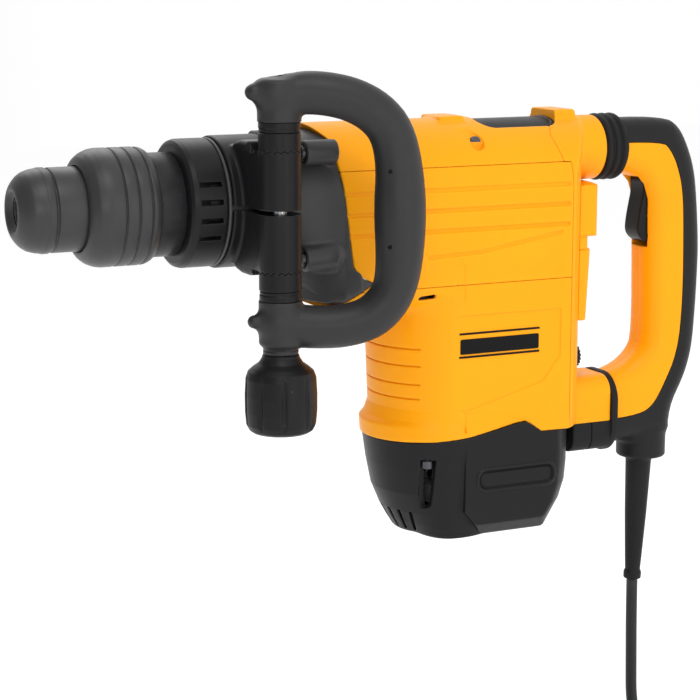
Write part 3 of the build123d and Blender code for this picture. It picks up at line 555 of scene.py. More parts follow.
def build_cord():
    """One cord from the strain relief, hanging, through the tied coil to its plug."""
    route = HANGING_ROUTE + coil_points() + LEAD_ROUTE
    cord = spline_object("mains_cord_run", millimetres(route), CORD_R - 0.05, SHEATH)
    x, y = COIL_CENTRE
    inner, outer = COIL_INNER - CORD_R, COIL_OUTER + CORD_R
    low, high = SURFACE_Z + 0.1, SURFACE_Z + 2 * CORD_R * COIL_LAYERS + 1.9

    def tie_shape(px, py, pz):
        along, up = py - y - (inner + outer) / 2, pz - (low + high) / 2
        ring = panel(along, up, (outer - inner) / 2 + 1.2, (high - low) / 2, 6)
        return maximum(abs(ring + 0.6) - 0.6, abs(px - x) - 6)

    tie_low, tie_high = (x - 6, y + inner - 1.3, low), (x + 6, y + outer + 1.3, high)
    tie = sculpt("cord_tie", tie_shape, tie_low, tie_high, 0.5, RUBBER)

    def plug_shape(px, py, pz):
        turn = math.radians(105)
        dx, dy = px - LEAD_ROUTE[-1][0], py - LEAD_ROUTE[-1][1]
        along = dx * math.cos(turn) + dy * math.sin(turn)
        across = dy * math.cos(turn) - dx * math.sin(turn)
        up = pz - LEAD_ROUTE[-1][2]
        waist = 13.2 + 2.6 * smooth_step(8, 36, along)
        oval = (norm(across / waist, up / 7.6) - 1) * 7.6
        grip = meet(round_pair(oval, abs(along - 22.5) - 17.4, 2.5), abs(up) - 7.9, 3)
        neck = rod(along, across, up, 7.2, 0.2, 12, 1)
        body = join(grip, neck, 3)
        for start in (12, 17, 22):
            notch = brick(along, abs(across), up, (start, 8, -10), (start + 1.6, 20, 10), 0.5)
            body = cut(body, notch)
        return body

    low_corner, high_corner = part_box("plug_body")
    plug = sculpt("plug_grip", plug_shape, low_corner / MM, high_corner / MM, 0.7, BLACK)
    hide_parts("mains_cord", "cord_coil", "plug_lead")
    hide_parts("coil_tie")
    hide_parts("plug_body")
    for piece in (cord, tie, plug):
        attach(piece, "rear_handle")


# -------- yellow housing
CAST_ZONE = [
    (110, 80), (207, 80), (209, 57), (220.5, 44), (220.5, 31), (229, -36), (230.5, -46), (235, -53),
    (247, -59), (212, -79), (208, -95), (110, -95),
]
CAP_SEAM_X = (268, 300, 327, 350, 366, 374, 380, 387, 415, 446)
CAP_SEAM_Z = (-184, -182.5, -180, -176, -173, -172.4, -176, -181, -181.5, -182)
REAR_SEAM_LINE = [
    (200, 90), (409, 90), (409, 50), (402.5, 41), (407, 22.3), (413, 22), (413, -260), (200, -260),
]
FRONT_HEIGHTS = (-190, -172, -168, -160, -100, -60)
FRONT_RADII = (57.6, 59.5, 55.2, 51.6, 54.5, 54.5)  # of the half-round front, at those heights


def upper_section(y, z):
    """Cross-section of the upper housing: half-round top, flat sides, rounded belly."""
    barrel = norm(y, maximum(z - BARREL_Z, 0)) - HALF_WIDTH
    return maximum(barrel, round_pair(abs(y) - HALF_WIDTH, BELLY_Z - z, 14))


def side_half(z):
    """Half width of the flat sides, which flare a little at their foot."""
    return HALF_WIDTH + 2.5 * smooth_step(-168, -182, z)


def front_distance(x, y, z):
    """Distance to the flat sides and the half-round front with its flared foot."""
    side = side_half(z)
    ahead = minimum(x - FRONT_CENTRE_X, 0) * side / np.interp(z, FRONT_HEIGHTS, FRONT_RADII)
    return norm(ahead, y) - side


def crown(x, y, centre, radius):
    """Distance to a crowned rear face, an arc in plan."""
    return norm(maximum(x - centre, 0), y) - radius


def hull(x, y, z):
    """Whole housing before its seams divide it."""
    upper = maximum(upper_section(y, z), 209 - x)
    column = maximum(front_distance(x, y, z), maximum(z + 62, -200 - z))
    body = join(upper, column, 12 * smooth_step(332, 300, x))
    body = maximum(body, abs(y) - side_half(z))
    return meet(body, crown(x, y, CROWN_X, CROWN_R), 1.5)


def cap_seam(x):
    """Height of the seam between the motor housing and its end cap."""
    return np.interp(x, CAP_SEAM_X, CAP_SEAM_Z)


def score(body, x, y, z, points, half_width, depth, radius):
    """Cuts a shallow groove along a bent line into both flat sides."""
    line = union(
        limb(x, z, 0, (*start, 0), (*end, 0), half_width, half_width)
        for start, end in zip(points, points[1:])
    )
    return cut(body, maximum(line, HALF_WIDTH - depth - abs(y)), radius)


def insert_seat(x, y, z, inset=0.0, depth=2.4):
    """Oblong on top of the barrel that holds the black insert."""
    oblong = panel(x - 383.5, y, 33.5 - inset, 26 - inset, 12 - inset)
    return maximum(oblong, HALF_WIDTH - depth - norm(y, z - BARREL_Z))


def top_cover_shape(x, y, z):
    """Upper cover with its front bump, the insert's seat and the screw recesses."""
    outer = join(hull(x, y, z), brick(x, y, z, (319, -15, 40), (340, 15, TOP_Z + 1.9), 1.6), 3)
    outer = cut(outer, insert_seat(x, y, z), 1.0)
    teardrop = limb(x, z, 0, (TOP_SCREW_X, TOP_SCREW_Z, 0), (331, 46, 0), 5.8, 3.5)
    floor = TOP_SCREW_FLOOR - 1.1 * maximum(z - TOP_SCREW_Z, 0)
    outer = cut(outer, maximum(teardrop, floor - abs(y)))
    cup = maximum(norm(x - TOP_SCREW_X, z - TOP_SCREW_Z) - 7.6, TOP_SCREW_FLOOR - 1.5 - abs(y))
    body = maximum(outer, -maximum(hull(x, y, z) + SHELL_WALL + 1.6, -cup))
    body = meet(body, SEAM_TOP + SEAM_GAP - z, 0.7)
    body = meet(body, outline_distance(x, z, REAR_SEAM_LINE) + SEAM_GAP, 0.7)
    return cut(body, outline_distance(x, z, CAST_ZONE) - SEAM_GAP, 0.7)


def side_cover_shape(side):
    """Ribbed side panel between the upper and the lower seam."""

    def shape(x, y, z):
        body = hull(x, y, z)
        for height in (6, -9, -24):
            body = score(body, x, y, z, [(150, height), (409, height)], 1.4, 1.5, 1.2)
        body = score(body, x, y, z, [(291, -43), (335, -41), (403, -30)], 1.2, 1.1, 1.0)
        body = score(body, x, y, z, [(318, -52), (318, -78)], 3.0, 0.6, 1.5)
        body = maximum(body, -hull(x, y, z) - SHELL_WALL)
        middle, half = (SEAM_TOP + SEAM_SIDE) / 2, (SEAM_TOP - SEAM_SIDE) / 2
        body = meet(body, abs(z - middle) - half + SEAM_GAP, 0.7)
        body = meet(body, outline_distance(x, z, REAR_SEAM_LINE) + SEAM_GAP, 0.7)
        body = cut(body, outline_distance(x, z, CAST_ZONE) - SEAM_GAP, 0.7)
        return maximum(body, 0.5 - side * y)

    return shape


LABEL_PANEL = [(305, -88), (404, -88), (404, -124), (389, -143), (322, -161), (308, -154)]


def motor_housing_shape(x, y, z):
    """Lower yellow housing with label panels, screw slots and front vent grooves."""
    body = hull(x, y, z)
    label = maximum(outline_distance(x, z, LABEL_PANEL), HALF_WIDTH - 1.1 - abs(y))
    body = cut(body, label, 0.7)
    body = score(body, x, y, z, [(322, -161), (322, -176)], 0.8, 0.6, 0.6)
    body = score(body, x, y, z, [(318, -60), (318, -76)], 3.0, 0.6, 1.5)
    slot = limb(x, z, 0, (286, -73, 0), (296, -72, 0), 1.6, 1.6)
    body = cut(body, maximum(slot, 42 - abs(y)), 0.5)
    for height in (-113, -126, -140, -151):
        vent = maximum(abs(z - height) - 0.5, x - 291)
        body = cut(body, maximum(vent, -1.6 - front_distance(x, y, z)), 0.4)
    body = maximum(body, -hull(x, y, z) - SHELL_WALL)
    body = meet(body, z - SEAM_SIDE + SEAM_GAP, 0.7)
    body = meet(body, outline_distance(x, z, REAR_SEAM_LINE) + SEAM_GAP, 0.7)
    body = meet(body, cap_seam(x) + SEAM_GAP - z, 0.7)
    return cut(body, outline_distance(x, z, CAST_ZONE) - SEAM_GAP, 0.7)


def rear_housing_shape(x, y, z):
    """Rear yellow housing with its top bump, handle socket, lower arm and pivot tongue."""
    outer = join(hull(x, y, z), brick(x, y, z, (409, -18, 40), (436, 18, TOP_Z + 4.2), 3), 4)
    outer = cut(outer, insert_seat(x, y, z), 1.0)
    body = maximum(outer, -hull(x, y, z) - SHELL_WALL - 1.6)
    body = cut(body, outline_distance(x, z, REAR_SEAM_LINE) - SEAM_GAP, 0.7)
    body = maximum(body, 402 - x)
    body = meet(body, cap_seam(x) + SEAM_GAP - z, 0.7)
    body = join(body, rod(x, y, z - SOCKET_Z, 25, 430, 460.5, 1.5), 7)
    body = cut(body, rod(x, y, z - SOCKET_Z, 21, 457, 470))
    arm = maximum(round_pair(abs(y) - 26, z - ARM_TOP, 14), ARM_BOTTOM + SEAM_GAP - z)
    body = join(body, meet(arm, abs(x - (433 + ARM_BACK) / 2) - (ARM_BACK - 433) / 2, 1), 2)
    tongue = maximum(limb(x, z, 0, (460, PIVOT_Z, 0), (PIVOT_X, PIVOT_Z, 0), 9, 9), abs(y) - 8)
    body = join(body, tongue, 1)
    body = cut(body, rod(y, x - PIVOT_X, z - PIVOT_Z, 5, -10, 10), 0.3)
    return cut(body, rod(x, y, z - DIAL_Z, 10.4, 438.6, 452), 0.5)


CAP_HEIGHTS = (-262, -258, -250, -241, -225, -205, -184, -160)
CAP_RADII = (30, 33, 38, 43, 49.6, 53.5, CAP_HALF, 57.2)  # of the round front, at those heights
CAP_CROWN_Z = (-262, -258, -238, -225, -210)
CAP_CROWN_X = (340, 342.8, 355.5, 360, 361.4)  # centre of the crowned back, at those heights
CAP_PANEL = [(322, -160), (322, -238), (338, -256), (345, -262), (445, -262), (445, -160)]


def cap_front(x, y, z):
    """Round front of the end cap, narrowing to its foot, and less so towards its sides."""
    radius = np.interp(z, CAP_HEIGHTS, CAP_RADII)
    sideways = smooth_step(30, 80, np.degrees(np.arctan2(abs(y), FRONT_CENTRE_X - x)))
    fuller = maximum(54 - radius, 0) * 0.75 * sideways
    return (norm(x - FRONT_CENTRE_X, y) - radius - fuller) * 0.85


def cap_envelope(x, y, z):
    """End cap before its details: round front, proud flat sides, crowned back."""
    sides = plate(x, z, y, CAP_PANEL, -CAP_HALF, CAP_HALF, 1.2)
    sides = meet(sides, (abs(y) - CAP_HALF - (z + 248)) * 0.707, 1)
    body = join(cap_front(x, y, z), sides, 1)
    body = meet(body, crown(x, y, np.interp(z, CAP_CROWN_Z, CAP_CROWN_X), CROWN_R), 2)
    return meet(body, -260 - z, 2.5)


def motor_end_cap_shape(x, y, z):
    """Black end cap with a framed rib and a screw slot on both sides and vents in front."""
    body = cap_envelope(x, y, z)
    rib = panel(x - 365.5, z + 214.3, 34.5, 9.5, 8.5)
    frame_ring = maximum(abs(rib + 1.1) - 1.1, maximum(abs(y) - 57.5, 50 - abs(y)))
    body = join(body, frame_ring, 0.5)
    body = cut(body, maximum(abs(rib + 3.6) - 0.6, CAP_HALF - 0.9 - abs(y)), 0.3)
    slot = maximum(limb(x, z, 0, (296, -196, 0), (296, -231, 0), 4.9, 4.2), z + 197)
    body = cut(body, maximum(slot, np.interp(z, (-236, -200), (35.5, 40.5)) - abs(y)), 0.8)
    azimuth = np.degrees(np.arctan2(abs(y), FRONT_CENTRE_X - x))
    for angle in (8, 23, 38):
        vent = norm(maximum(abs(z + 248.5) - 7, 0), (azimuth - angle) * 0.6) - 1.3
        body = cut(body, maximum(vent, -2.8 - cap_front(x, y, z)), 0.5)
    body = maximum(body, -cap_envelope(x, y, z) - 4)
    return meet(body, z - cap_seam(x) + SEAM_GAP, 0.7)


def badge_shape(x, y, z):
    """Blank badge on both sides: a broad plain bar between two thin bars."""
    bar = panel(x - 351.5, z + 111.5, 33.5, 5.7, 1.2)
    upper = panel(x - 351.3, z + 101.7, 34.2, 0.75, 0.2)
    lower = panel(x - 351.3, z + 119.3, 34.2, 0.75, 0.2)
    return maximum(union((bar, upper, lower)), maximum(abs(y) - 53.6, 52.5 - abs(y)))


def top_insert_shape(x, y, z):
    """Black oblong insert on the barrel, slightly dished within its rim."""
    body = maximum(insert_seat(x, y, z, 0.5, 3.0), norm(y, z - BARREL_Z) - HALF_WIDTH + 1.0)
    return cut(body, insert_seat(x, y, z, 3.0, 1.7), 0.8)


COVER_STEPS = ((-37, 5, 83, 83), (-47, -37, 76, 76), (-102, -47, 75.5, 78))  # low, high and both radii


def rear_cover_shape(x, y, z):
    """Access cover on the crowned rear face, in an upper and a lower step with a notch between."""
    steps = []
    for low, high, low_radius, high_radius in COVER_STEPS:
        radius = low_radius + (high_radius - low_radius) * np.clip((z - low) / (high - low), 0, 1)
        level = abs(z - (low + high) / 2) - (high - low) / 2
        steps.append(round_pair(crown(x, y, CROWN_X, 0) - radius, level, 0.9))
    body = meet(union(steps), abs(y) - 40, 2.5)
    return maximum(body, CROWN_R + 0.1 - norm(x - CROWN_X, y))


# -------- gearbox casting
FLANGE_SCREWS = ((-47.5, 37), (-47.5, -39), (47.5, 37), (47.5, -39))


def crankcase(x, y, z, inset):
    """Crankcase, square below the impact axis and rounded above it."""
    body = brick(x, y, z, (222, -40 + inset, -52), (404 - inset, 40 - inset, 36), 1)
    return maximum(body, norm(y, maximum(z, 0)) - 47 + inset)


CAST_LIP = [(187, -50), (189, -62), (195, -70), (214, -72.2), (236, -63), (236, -50)]


def casting_shape(x, y, z):
    """Cast gearbox nose: spindle seat, flare with its lower lip, screw bosses and crankcase."""
    share = np.clip((x - 178) / 46, 0, 1) ** (1.7 - 0.9 * smooth_step(10, -40, z))
    flare = (norm(y, z) - SEAT_R) * (1 - share) + (upper_section(y, z) + 0.7) * share
    flare = maximum(flare, maximum(SEAT_FRONT_X - 0.5 - x, x - 250))
    flare = meet(flare, outline_distance(x, z, CAST_ZONE) + SEAM_GAP, 0.8)
    round_front = norm(minimum(x - 243, 0), y) - HALF_WIDTH - 0.3
    flare = join(flare, maximum(outline_distance(x, z, CAST_LIP), round_front), 3)
    body = join(flare, rod(x, y, z, 46.2, 138, SEAT_FRONT_X - 0.2, 0.8), 0.5)
    for by, bz in FLANGE_SCREWS:
        body = join(body, rod(x, y - by, z - bz, 8.8, 193.5, 218, 1.2), 5)
        if bz < 0:
            fairing = limb(x, y, z, (196, by, bz), (216, by, bz + 3), 6, 8.5)
            body = join(body, maximum(fairing, 199 - x), 3)
        body = cut(body, rod(x, y - by, z - bz, 5.4, 180, 197))
    body = minimum(body, crankcase(x, y, z, 0))
    body = cut(body, rod(x, y, z, 26, 130, 166), 0.5)
    body = maximum(body, -rod(x, y, z, 29.05, 160, 240))
    cavity = maximum(crankcase(x, y, minimum(z, 30), 5), maximum(232 - x, -37 - z))
    return maximum(body, -cavity)


# -------- nose
def nose_cap_profile():
    """Dust cap: lip, dome, bead and the sleeve under the collar."""
    return [
        (-1.2, 10.5), (-1.6, 12.5), (-4.6, 14.5), (-5, 16.5), (-4.2, 19), (-2.2, 22), (0.5, 25), (4, 27.4),
        (9, 29), (13.5, 29.6), (14, 30), (19, 30), (19.4, 28.4), (20.8, 28.4), (21.2, 29.7), (53, 29.7),
        (53, 20), (0, 20), (0, 10.5),
    ]


def collar_profile():
    """Release collar with its convex front and three fine grooves."""
    points = [(41, 30.1), (41, 32.5), (43, 36), (47, 39.2), (52, 41.2), (56, 41.8)]
    for groove in (65, 74.5, 84):
        points += [(groove - 0.9, 41.8), (groove - 0.3, 40.7), (groove + 0.3, 40.7), (groove + 0.9, 41.8)]
    return points + [(87.5, 41.3), (90.5, 39.8), (92, 38), (92, 37.4), (54, 37.4), (54, 30.1)]


def index_ring_shape(x, y, z):
    """Slotted ring: each slot has a ramp in front and a deep window behind."""
    outer = np.interp(x, (110.5, 111, 113, 116), (37, 42.5, 45, 46))
    ring = round_pair((norm(y, z) - outer) * 0.85, abs(x - 124) - 13.4, 1.0)
    body = maximum(ring, 20 - norm(y, z))
    for group in range(3):
        for offset in (-22, -6, 10.3, 27):
            turn = math.radians(group * 120 + offset)
            out = -y * math.cos(turn) - z * math.sin(turn)
            across = z * math.cos(turn) - y * math.sin(turn)
            half = maximum(abs(across) - 1.8, -out)
            ramp = maximum(abs(x - 122) - 4.2, 45.4 - (x - 118) * 0.42 - out)
            window = maximum(abs(x - 130) - 3.9, 39.5 - out)
            body = cut(body, maximum(half, minimum(ramp, window)), 0.4)
    return body


# -------- rear handle
SEAM_LINE = [
    (533, 22), (540, 10), (546, -10), (548, -43), (549, -100), (545.6, -141), (532, -169), (523, -183),
    (511, -189), (476, -191),
]
INNER_LINE = [(455, -153), (485, -147), (500, -137), (505.5, -126), (503.5, -48), (502, 4.6), (455, 5)]
BACK_LINE = [
    (455, 52), (525, 52), (525, 52), (538, 44.5), (547, 29.5), (554.6, 9), (558, -15), (561, -52),
    (560.8, -75), (560, -101), (558, -134), (554, -151.5), (549, -164.5), (537.5, -186), (536.5, -212),
    (455, -212),
]
CORE_SHIFT = (-11.0, 2.7)  # the seam between core and skin lies on the curved side of the grip
CORE_ZONE = [(x + CORE_SHIFT[0], z + CORE_SHIFT[1]) for x, z in [(466, 29), (526, 28)] + SEAM_LINE]
CORE_ZONE += [(455, -188), (455, -140), (490, -132), (494, -122), (492, -48), (490, -5), (455, -5)]


def handle_envelope(x, y, z):
    """Whole D handle: rounded grip bar, upper head and lower foot."""
    outline = outline_distance(x, z, rounded(BACK_LINE + INNER_LINE))
    body = round_pair(outline + 2.6, abs(y) - 20, 16)
    return meet(body, np.where(z > -80, 481.5, 476.5) - x, 1)


def core_zone(x, z):
    """Side view of the yellow core within the handle."""
    return outline_distance(x, z, rounded(CORE_ZONE))


def pivot_pocket(x, y, z):
    """Room for the pivot tongue in the handle's foot."""
    return brick(x, y, z, (470, -8.6, PIVOT_Z - 11), (496.5, 8.6, PIVOT_Z + 11), 0.6)


def handle_core_shape(side):
    """One half of the yellow handle core."""

    def shape(x, y, z):
        body = handle_envelope(x, y, z) + 0.3
        body = meet(body, core_zone(x, z) + 0.15)
        body = meet(body, 0.08 - side * y, 0.35)
        body = maximum(body, -brick(x, y, z, (512, -11.2, -66), (543, 11.2, 4), 1))
        body = maximum(body, -brick(x, y, z, (485, -11, -53), (517.5, 11, 3.6), 0.6))
        body = maximum(body, -pivot_pocket(x, y, z))
        return maximum(body, -rod(y, x - PIVOT_X, z - PIVOT_Z, 5.1, -15.4, 15.4))

    return shape


def handle_skin_shape(x, y, z):
    """Soft black back, head and foot of the handle with the cord's cup."""
    body = handle_envelope(x, y, z)
    cup = rod(z, x - 514.5, y, 19.8, -224.6, -200, 2.5)
    body = join(body, cup, 5)
    body = cut(body, core_zone(x, z) - 0.15, 0.7)
    body = cut(body, rod(z, x - 513.6, y, 12.3, -230, -200))
    return maximum(body, -pivot_pocket(x, y, z))


TRIGGER_LINE = [
    (503.5, 3), (505, -8), (502.5, -20), (500.3, -32), (499.7, -42), (505.5, -48.5), (514, -51),
    (519.5, 2), (512.5, 3),
]


def trigger_shape(x, y, z):
    """Curved finger trigger."""
    return round_pair(outline_distance(x, z, rounded(TRIGGER_LINE)), abs(y) - 10.5, 2.2)


def lower_boot_shape(x, y, z):
    """Rubber sleeve under the rear arm, with a flange around the handle's lower pivot."""
    section = round_pair(abs(y) - 28.5, abs(z + 182) - 32, 22)
    flange = round_pair(section, abs(x - 471) - 2.9, 1.2)
    flange = maximum(flange, -brick(x, y, z, (471.5, -21, -207), (480, 21, -157), 2))
    under = maximum(round_pair(abs(y) - 26, -211 - z, 12), z - ARM_BOTTOM)
    under = meet(under, abs(x - 451.5) - 17.5, 2)
    groove = maximum(abs(x - 451) - 0.7, -under - 1.2)
    body = join(flange, cut(under, groove, 0.5), 1)
    return maximum(body, -brick(x, y, z, (466, -8.6, PIVOT_Z - 10), (480, 8.6, PIVOT_Z + 10), 0.5))


def bellows_profile():
    """Three soft convolutions between socket and handle."""
    points = [(460.5, 20.5), (460.5, 23.2)]
    for start in (460.8, 467.6, 474.4):
        points += [(start + 0.6, 24.0), (start + 1.8, 26.0), (start + 4.8, 26.0), (start + 6.1, 24.0)]
    return points + [(481.5, 23.2), (481.5, 20.5)]


def relief_profile():
    """Strain relief: smooth taper around the cord, along its own axis, with a small end flange."""
    return [
        (0, 5), (0, 12.1), (24, 12.1), (26, 10.4), (70, 8.8), (108, 6.8), (119, 6.1), (120.5, 7.2),
        (125.5, 7.2), (126.5, 6.6), (126.5, 5),
    ]


# -------- side handle
def tooth_height(x, y):
    """Zigzag of the face teeth round the column."""
    turn = np.arctan2(y - COLUMN_Y, x - COLUMN_X) * JOINT_TEETH / (2 * math.pi)
    return 3.4 * abs(turn - np.floor(turn) - 0.5) - 0.85


def column_ring_shape(x, y, z):
    """Toothed bushes, thin lips and damper rings at both ends of the clamp's column."""
    across = norm(x - COLUMN_X, y - COLUMN_Y)
    height = abs(z)
    teeth = JOINT_Z + 0.35 + tooth_height(x, y) - height
    bush = meet(across - COLUMN_R, maximum(teeth, height - 54.4), 0.5)
    lip = round_pair(across - 14.3, abs(height - 55.8) - 1.0, 0.4)
    damper = round_pair(across - 14.6, abs(height - 59.5) - 2.4, 0.8)
    core = maximum(across - 12.8, abs(height - 52) - 9.5)
    return maximum(union((bush, lip, damper, core)), 5.05 - across)


CLAMP_BLOCK = [
    (-90, -40), (-90, 40), (-66, 41.2), (-58, 47), (-30, 47), (-20, 40), (-20, -40), (-30, -47), (-58, -47),
    (-66, -41.2),
]


def clamp_shape(side):
    """Half of the band clamp with its column block and hinge lugs."""

    def shape(x, y, z):
        height = side * z
        across = norm(x - COLUMN_X, y - COLUMN_Y)
        block = plate(y, z, x, rounded(CLAMP_BLOCK, 1), 149, 177, 3)
        body = join(rod(x, y, z, 47.5, 141, 177, 1.6), block, 3)
        body = maximum(body, COLUMN_Y - y)
        body = maximum(body, np.where(across < 22, abs(z) - JOINT_Z, -9))
        column = maximum(across - COLUMN_R, abs(z) - JOINT_Z + 0.05 - tooth_height(x, y))
        body = join(body, column, 2)
        if side > 0:
            body = join(body, rod(x, y + 60, z - 43.5, 4.5, 146, 158, 1), 1.5)
            front_lug = brick(x, y, z, (141.5, 44, -4.5), (151, 57, 4.5), 1.2)
            lugs = minimum(front_lug, brick(x, y, z, (167.5, 44, -4.5), (177, 57, 4.5), 1.2))
        else:
            lugs = brick(x, y, z, (151.2, 44, -4.5), (167.3, 57, 4.5), 1.2)
        body = meet(body, 1.5 - height)
        body = minimum(body, maximum(lugs, np.where(height < 1.5, 49.6 - y, -9)))
        body = maximum(body, -rod(x, y, z, SEAT_R + 0.05, 130, 190))
        body = maximum(body, -rod(x, y - HINGE_Y, z, 2.5, 130, 190))
        return maximum(body, 5 - across)

    return shape


LOOP_LINE = [  # distance from the column, height and radius of the bar
    (0, 77.5, 14), (10, 80, 14.6), (18.7, 81.6, 14.8), (34.9, 80.3, 14.9), (51.2, 76.2, 15.1),
    (66.5, 67.6, 15.3), (77.6, 54.4, 15.4), (82.8, 31, 16.2), (83.4, 0, 18.5), (83.2, -36, 16.4),
    (79.2, -57.9, 14.9), (67.3, -72.5, 15.2), (53, -79, 15.0), (32.7, -81.7, 15.0), (0, -79, 15.2),
]


def smooth_line(points):
    """Open line with its corners cut twice to a smooth curve, its ends kept."""
    for _ in range(2):
        finer = [points[0]]
        for a, b in zip(points, points[1:]):
            finer.append(tuple(p * 0.75 + q * 0.25 for p, q in zip(a, b)))
            finer.append(tuple(p * 0.25 + q * 0.75 for p, q in zip(a, b)))
        points = finer + [points[-1]]
    return points


HORNS = (  # root, tip, radius of the tip, fillet
    ((COLUMN_X, 80), (143.5, 82.2), 5.4, 8),
    ((COLUMN_X, -77.5), (143.2, -75.5), 4.6, 5),
)


def side_loop_shape(x, y, z):
    """Loop grip: swelling bar, column bosses, blunt horns and the neck of the knob."""
    along = (x - COLUMN_X) * math.cos(LOOP_ANGLE) - (y - COLUMN_Y) * math.sin(LOOP_ANGLE)
    aside = (x - COLUMN_X) * math.sin(LOOP_ANGLE) + (y - COLUMN_Y) * math.cos(LOOP_ANGLE)
    line = smooth_line(LOOP_LINE)
    body = union(
        limb(along, aside, z, (s0, 0, z0), (s1, 0, z1), r0, r1)
        for (s0, z0, r0), (s1, z1, r1) in zip(line, line[1:])
    )
    across = norm(x - COLUMN_X, y - COLUMN_Y)
    body = join(body, round_pair(across - 15.2, abs(z - 72) - 18.6, 4), 3)
    body = join(body, round_pair(across - 15.2, abs(z + 74) - 19.8, 3), 3)
    for (root_x, root_z), (tip_x, tip_z), tip_radius, fillet in HORNS:
        start, end = (root_x, COLUMN_Y * 0.9, root_z), (tip_x, COLUMN_Y * 0.9, tip_z)
        body = join(body, limb(x, y * 0.9, z, start, end, 11, tip_radius), fillet)
    body = join(body, rod(z, x - COLUMN_X, y - COLUMN_Y, 12.4, -99.2, -88, 0.8), 2.5)
    body = cut(body, maximum(abs(z + 96.2) - 0.4, 11.8 - across), 0.3)
    for height in (28.4, -23.6):
        dot = norm(along - 74.5, z - height) - 1.4
        body = cut(body, maximum(dot, abs(aside + 17) - 6), 0.4)
    body = maximum(body, 5.05 - across)
    return maximum(body, np.where(across < 30, DAMPER_FACE - abs(z), -9))


def knob_shape(x, y, z):
    """Lobed knob: flared neck, bulged sides and nine teardrop grooves."""
    px, py = x - COLUMN_X, y - COLUMN_Y
    across = norm(px, py)
    heights = (-156, -154.8, -153, -149, -140, -128, -116, -111.5, -108.6, -105.5, -102, -99.6)
    radii = (15, 20, 22.6, 24.6, 25.4, 25.5, 24.8, 23.2, 20, 15.6, 13.4, 12.6)
    body = (across - np.interp(z, heights, radii)) * 0.8
    body = maximum(body, abs(z + 127.3) - 27.6)
    for k in range(9):
        turn = math.radians(40 * k + 12)
        top = (25.6 * math.cos(turn), 25.6 * math.sin(turn), -114)
        foot = (26.3 * math.cos(turn), 26.3 * math.sin(turn), -149)
        body = cut(body, limb(px, py, z, top, foot, 1.5, 2.5), 0.9)
    return maximum(body, 8.0 - across)


# -------- assembly
DETAIL = 1.0


def settle(piece, node, body, slot):
    """Hides the CAD node a piece stands for and gives the piece its body; slot is not used."""
    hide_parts(node)
    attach(piece, body)


def place(name, shape, node, body, slot, voxel, material, *span):
    """Meshes a shape between two corners, or inside the box of its CAD node, and settles it."""
    low, high = span or [np.array(corner) / MM + grow for corner, grow in zip(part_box(node), (-1, 1))]
    settle(sculpt(name, shape, low, high, voxel * DETAIL, material), node, body, slot)


# piece, its shape, its CAD node, finish, voxel size, material, and the box to mesh if not its CAD box
HOUSING = (
    ("gearbox_casting", casting_shape, "gearbox_housing", "cast_housing", 0.8, CASTING,
     (136, -58, -82), (406, 58, 62)),
    ("top_cover_shell", top_cover_shape, "top_cover", "yellow_plastic", 0.8, YELLOW,
     (207, -56, 20), (416, 56, 58)),
    ("side_cover_left_shell", side_cover_shape(-1), "side_cover_left", "yellow_plastic", 0.8, YELLOW,
     (216, -56, -68), (416, 0, 25)),
    ("side_cover_right_shell", side_cover_shape(1), "side_cover_right", "yellow_plastic", 0.8, YELLOW,
     (216, 0, -68), (416, 56, 25)),
    ("motor_housing_shell", motor_housing_shape, "motor_housing", "yellow_plastic", 0.85, YELLOW,
     (206, -60, -186), (416, 60, -63)),
    ("rear_housing_shell", rear_housing_shape, "rear_housing", "yellow_plastic", 0.8, YELLOW,
     (400, -58, -189), (497, 58, 61)),
    ("end_cap_shell", motor_end_cap_shape, "motor_end_cap", "black_plastic", 0.75, BLACK,
     (266, -59, -262), (434, 59, -168)),
    ("badge_plates", badge_shape, "badges", "badge", 0.45, PRINT),
    ("top_insert_pad", top_insert_shape, "top_insert", "black_plastic", 0.5, BLACK,
     (348, -27, 42), (418, 27, 56)),
    ("rear_cover_plate", rear_cover_shape, "rear_cover", "yellow_plastic", 0.6, YELLOW),
    ("lower_boot_shell", lower_boot_shape, "lower_boot", "black_rubber", 0.7, RUBBER),
)


def build_housing():
    """Casting, yellow covers, black cap, badges, insert and boot."""
    for name, shape, node, slot, voxel, material, *span in HOUSING:
        place(name, shape, node, "hammer_body", slot, voxel, material, *span)


def build_nose():
    """Turned nose parts and the slotted ring."""
    cap = lathe("nose_cap_turned", soft_profile(nose_cap_profile(), 2, 0.7), NOSE_BLACK)
    settle(cap, "nose_cap", "spindle", "black_rubber")
    profile = soft_profile(collar_profile(), 2, 0.6)
    collar = lathe("release_collar_turned", profile, NOSE_BLACK, segments=180)
    settle(collar, "release_collar", "collar", "black_plastic")
    sleeve_profile = [(80, 20), (80, 37), (110.5, 37), (110.5, 20)]
    sleeve = lathe("neck_sleeve_turned", soft_profile(sleeve_profile, 1, 0.5), BLACK)
    settle(sleeve, "neck_sleeve", "spindle", "black_plastic")
    place("index_ring_slotted", index_ring_shape, "index_ring", "spindle", "black_plastic", 0.55, BLACK)


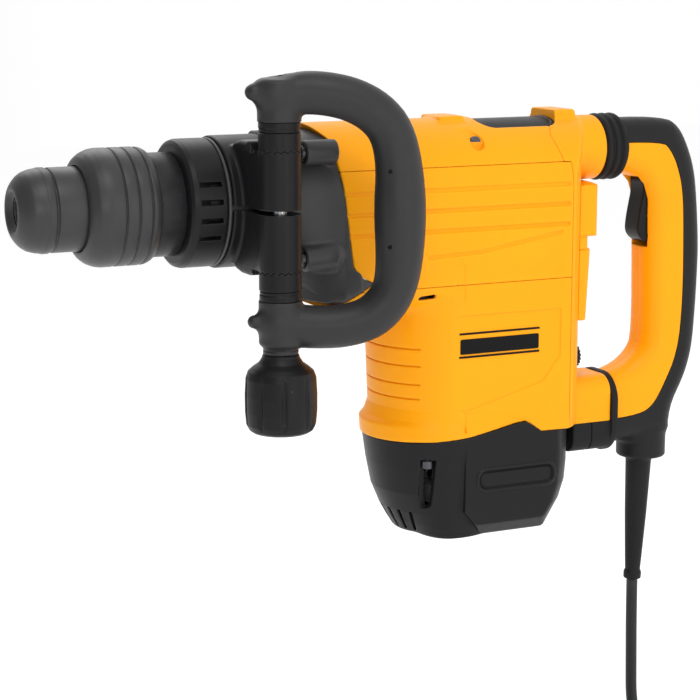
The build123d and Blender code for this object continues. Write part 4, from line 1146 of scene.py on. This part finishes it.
def build_rear_handle():
    """D handle, trigger, bellows, cup and strain relief."""
    body = "rear_handle"
    span = ((470, -22, -230), (563, 22, 51))
    place("handle_skin", handle_skin_shape, "handle_overmold", body, "black_rubber", 0.75, SKIN, *span)
    for node, side in (("handle_shell_left", -1), ("handle_shell_right", 1)):
        low, high = sorted((0, side * 21))
        span = ((470, low, -194), (552, high, 32))
        place(node + "_core", handle_core_shape(side), node, body, "yellow_plastic", 0.7, YELLOW, *span)
    span = ((494, -12, -54), (523, 12, 6))
    place("trigger_lever", trigger_shape, "trigger", "trigger", "black_plastic", 0.5, BLACK, *span)
    profile = soft_profile(bellows_profile(), 2, 1.2)
    bellows = lathe("bellows", profile, RUBBER, origin=(0, 0, SOCKET_Z), segments=96)
    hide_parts("handle_bellows")
    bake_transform(bellows)
    start, end = Vector((513.6, 0, -202)), Vector((509.7, 0, -329))
    profile = soft_profile(relief_profile(), 2, 0.6)
    relief = lathe("strain_relief_sleeve", profile, RUBBER, start, end - start, 96)
    settle(relief, "strain_relief", body, "black_rubber")


def build_side_handle():
    """Band clamp, column, loop grip and knob."""
    for node, side in (("clamp_upper", 1), ("clamp_lower", -1)):
        low, high = sorted((side * -6, side * 49))
        span = ((139, -93, low), (180, 60, high))
        place(node + "_band", clamp_shape(side), node, "side_handle", "black_plastic", 0.65, BLACK, *span)
    place("column_ring_set", column_ring_shape, "column_rings", "side_loop", "black_plastic", 0.5, BLACK)
    span = ((136, -130, -101), (262, -58, 98))
    place("loop_grip", side_loop_shape, "side_loop", "side_loop", "black_rubber", 0.75, GRIP, *span)
    place("knob_lobed", knob_shape, "knob", "knob", "black_plastic", 0.6, BLACK)


CAD_FINISHES = {
    STEEL: (
        "tool_holder", "locking_roller_upper", "locking_roller_lower", "clamp_bolt", "clamp_hinge_pin",
        "beat_piece", "striker", "cylinder", "armature_shaft", "bearings", "knob_nut", "handle_pivot_pin",
        "plug_pins",
    ),
    DARK_STEEL: ("housing_screws", "crankshaft", "con_rod", "armature_core", "stator", "carbon_brushes"),
    ALUMINIUM: ("piston", "crankcase_lid"),
    COPPER: ("commutator",),
    GREY: ("cooling_fan", "brush_bridge", "control_module", "switch_body"),
    BLACK: ("speed_dial",),
}


def finish_cad_nodes():
    """Gives the CAD pieces that stay in view their materials."""
    for material, names in CAD_FINISHES.items():
        for name in names:
            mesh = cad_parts[name].data
            mesh.materials.clear()
            mesh.materials.append(material)


build_camera()
build_floor()
build_light()
build_housing()
build_nose()
build_rear_handle()
build_side_handle()
build_springs()
build_cord()
finish_cad_nodes()
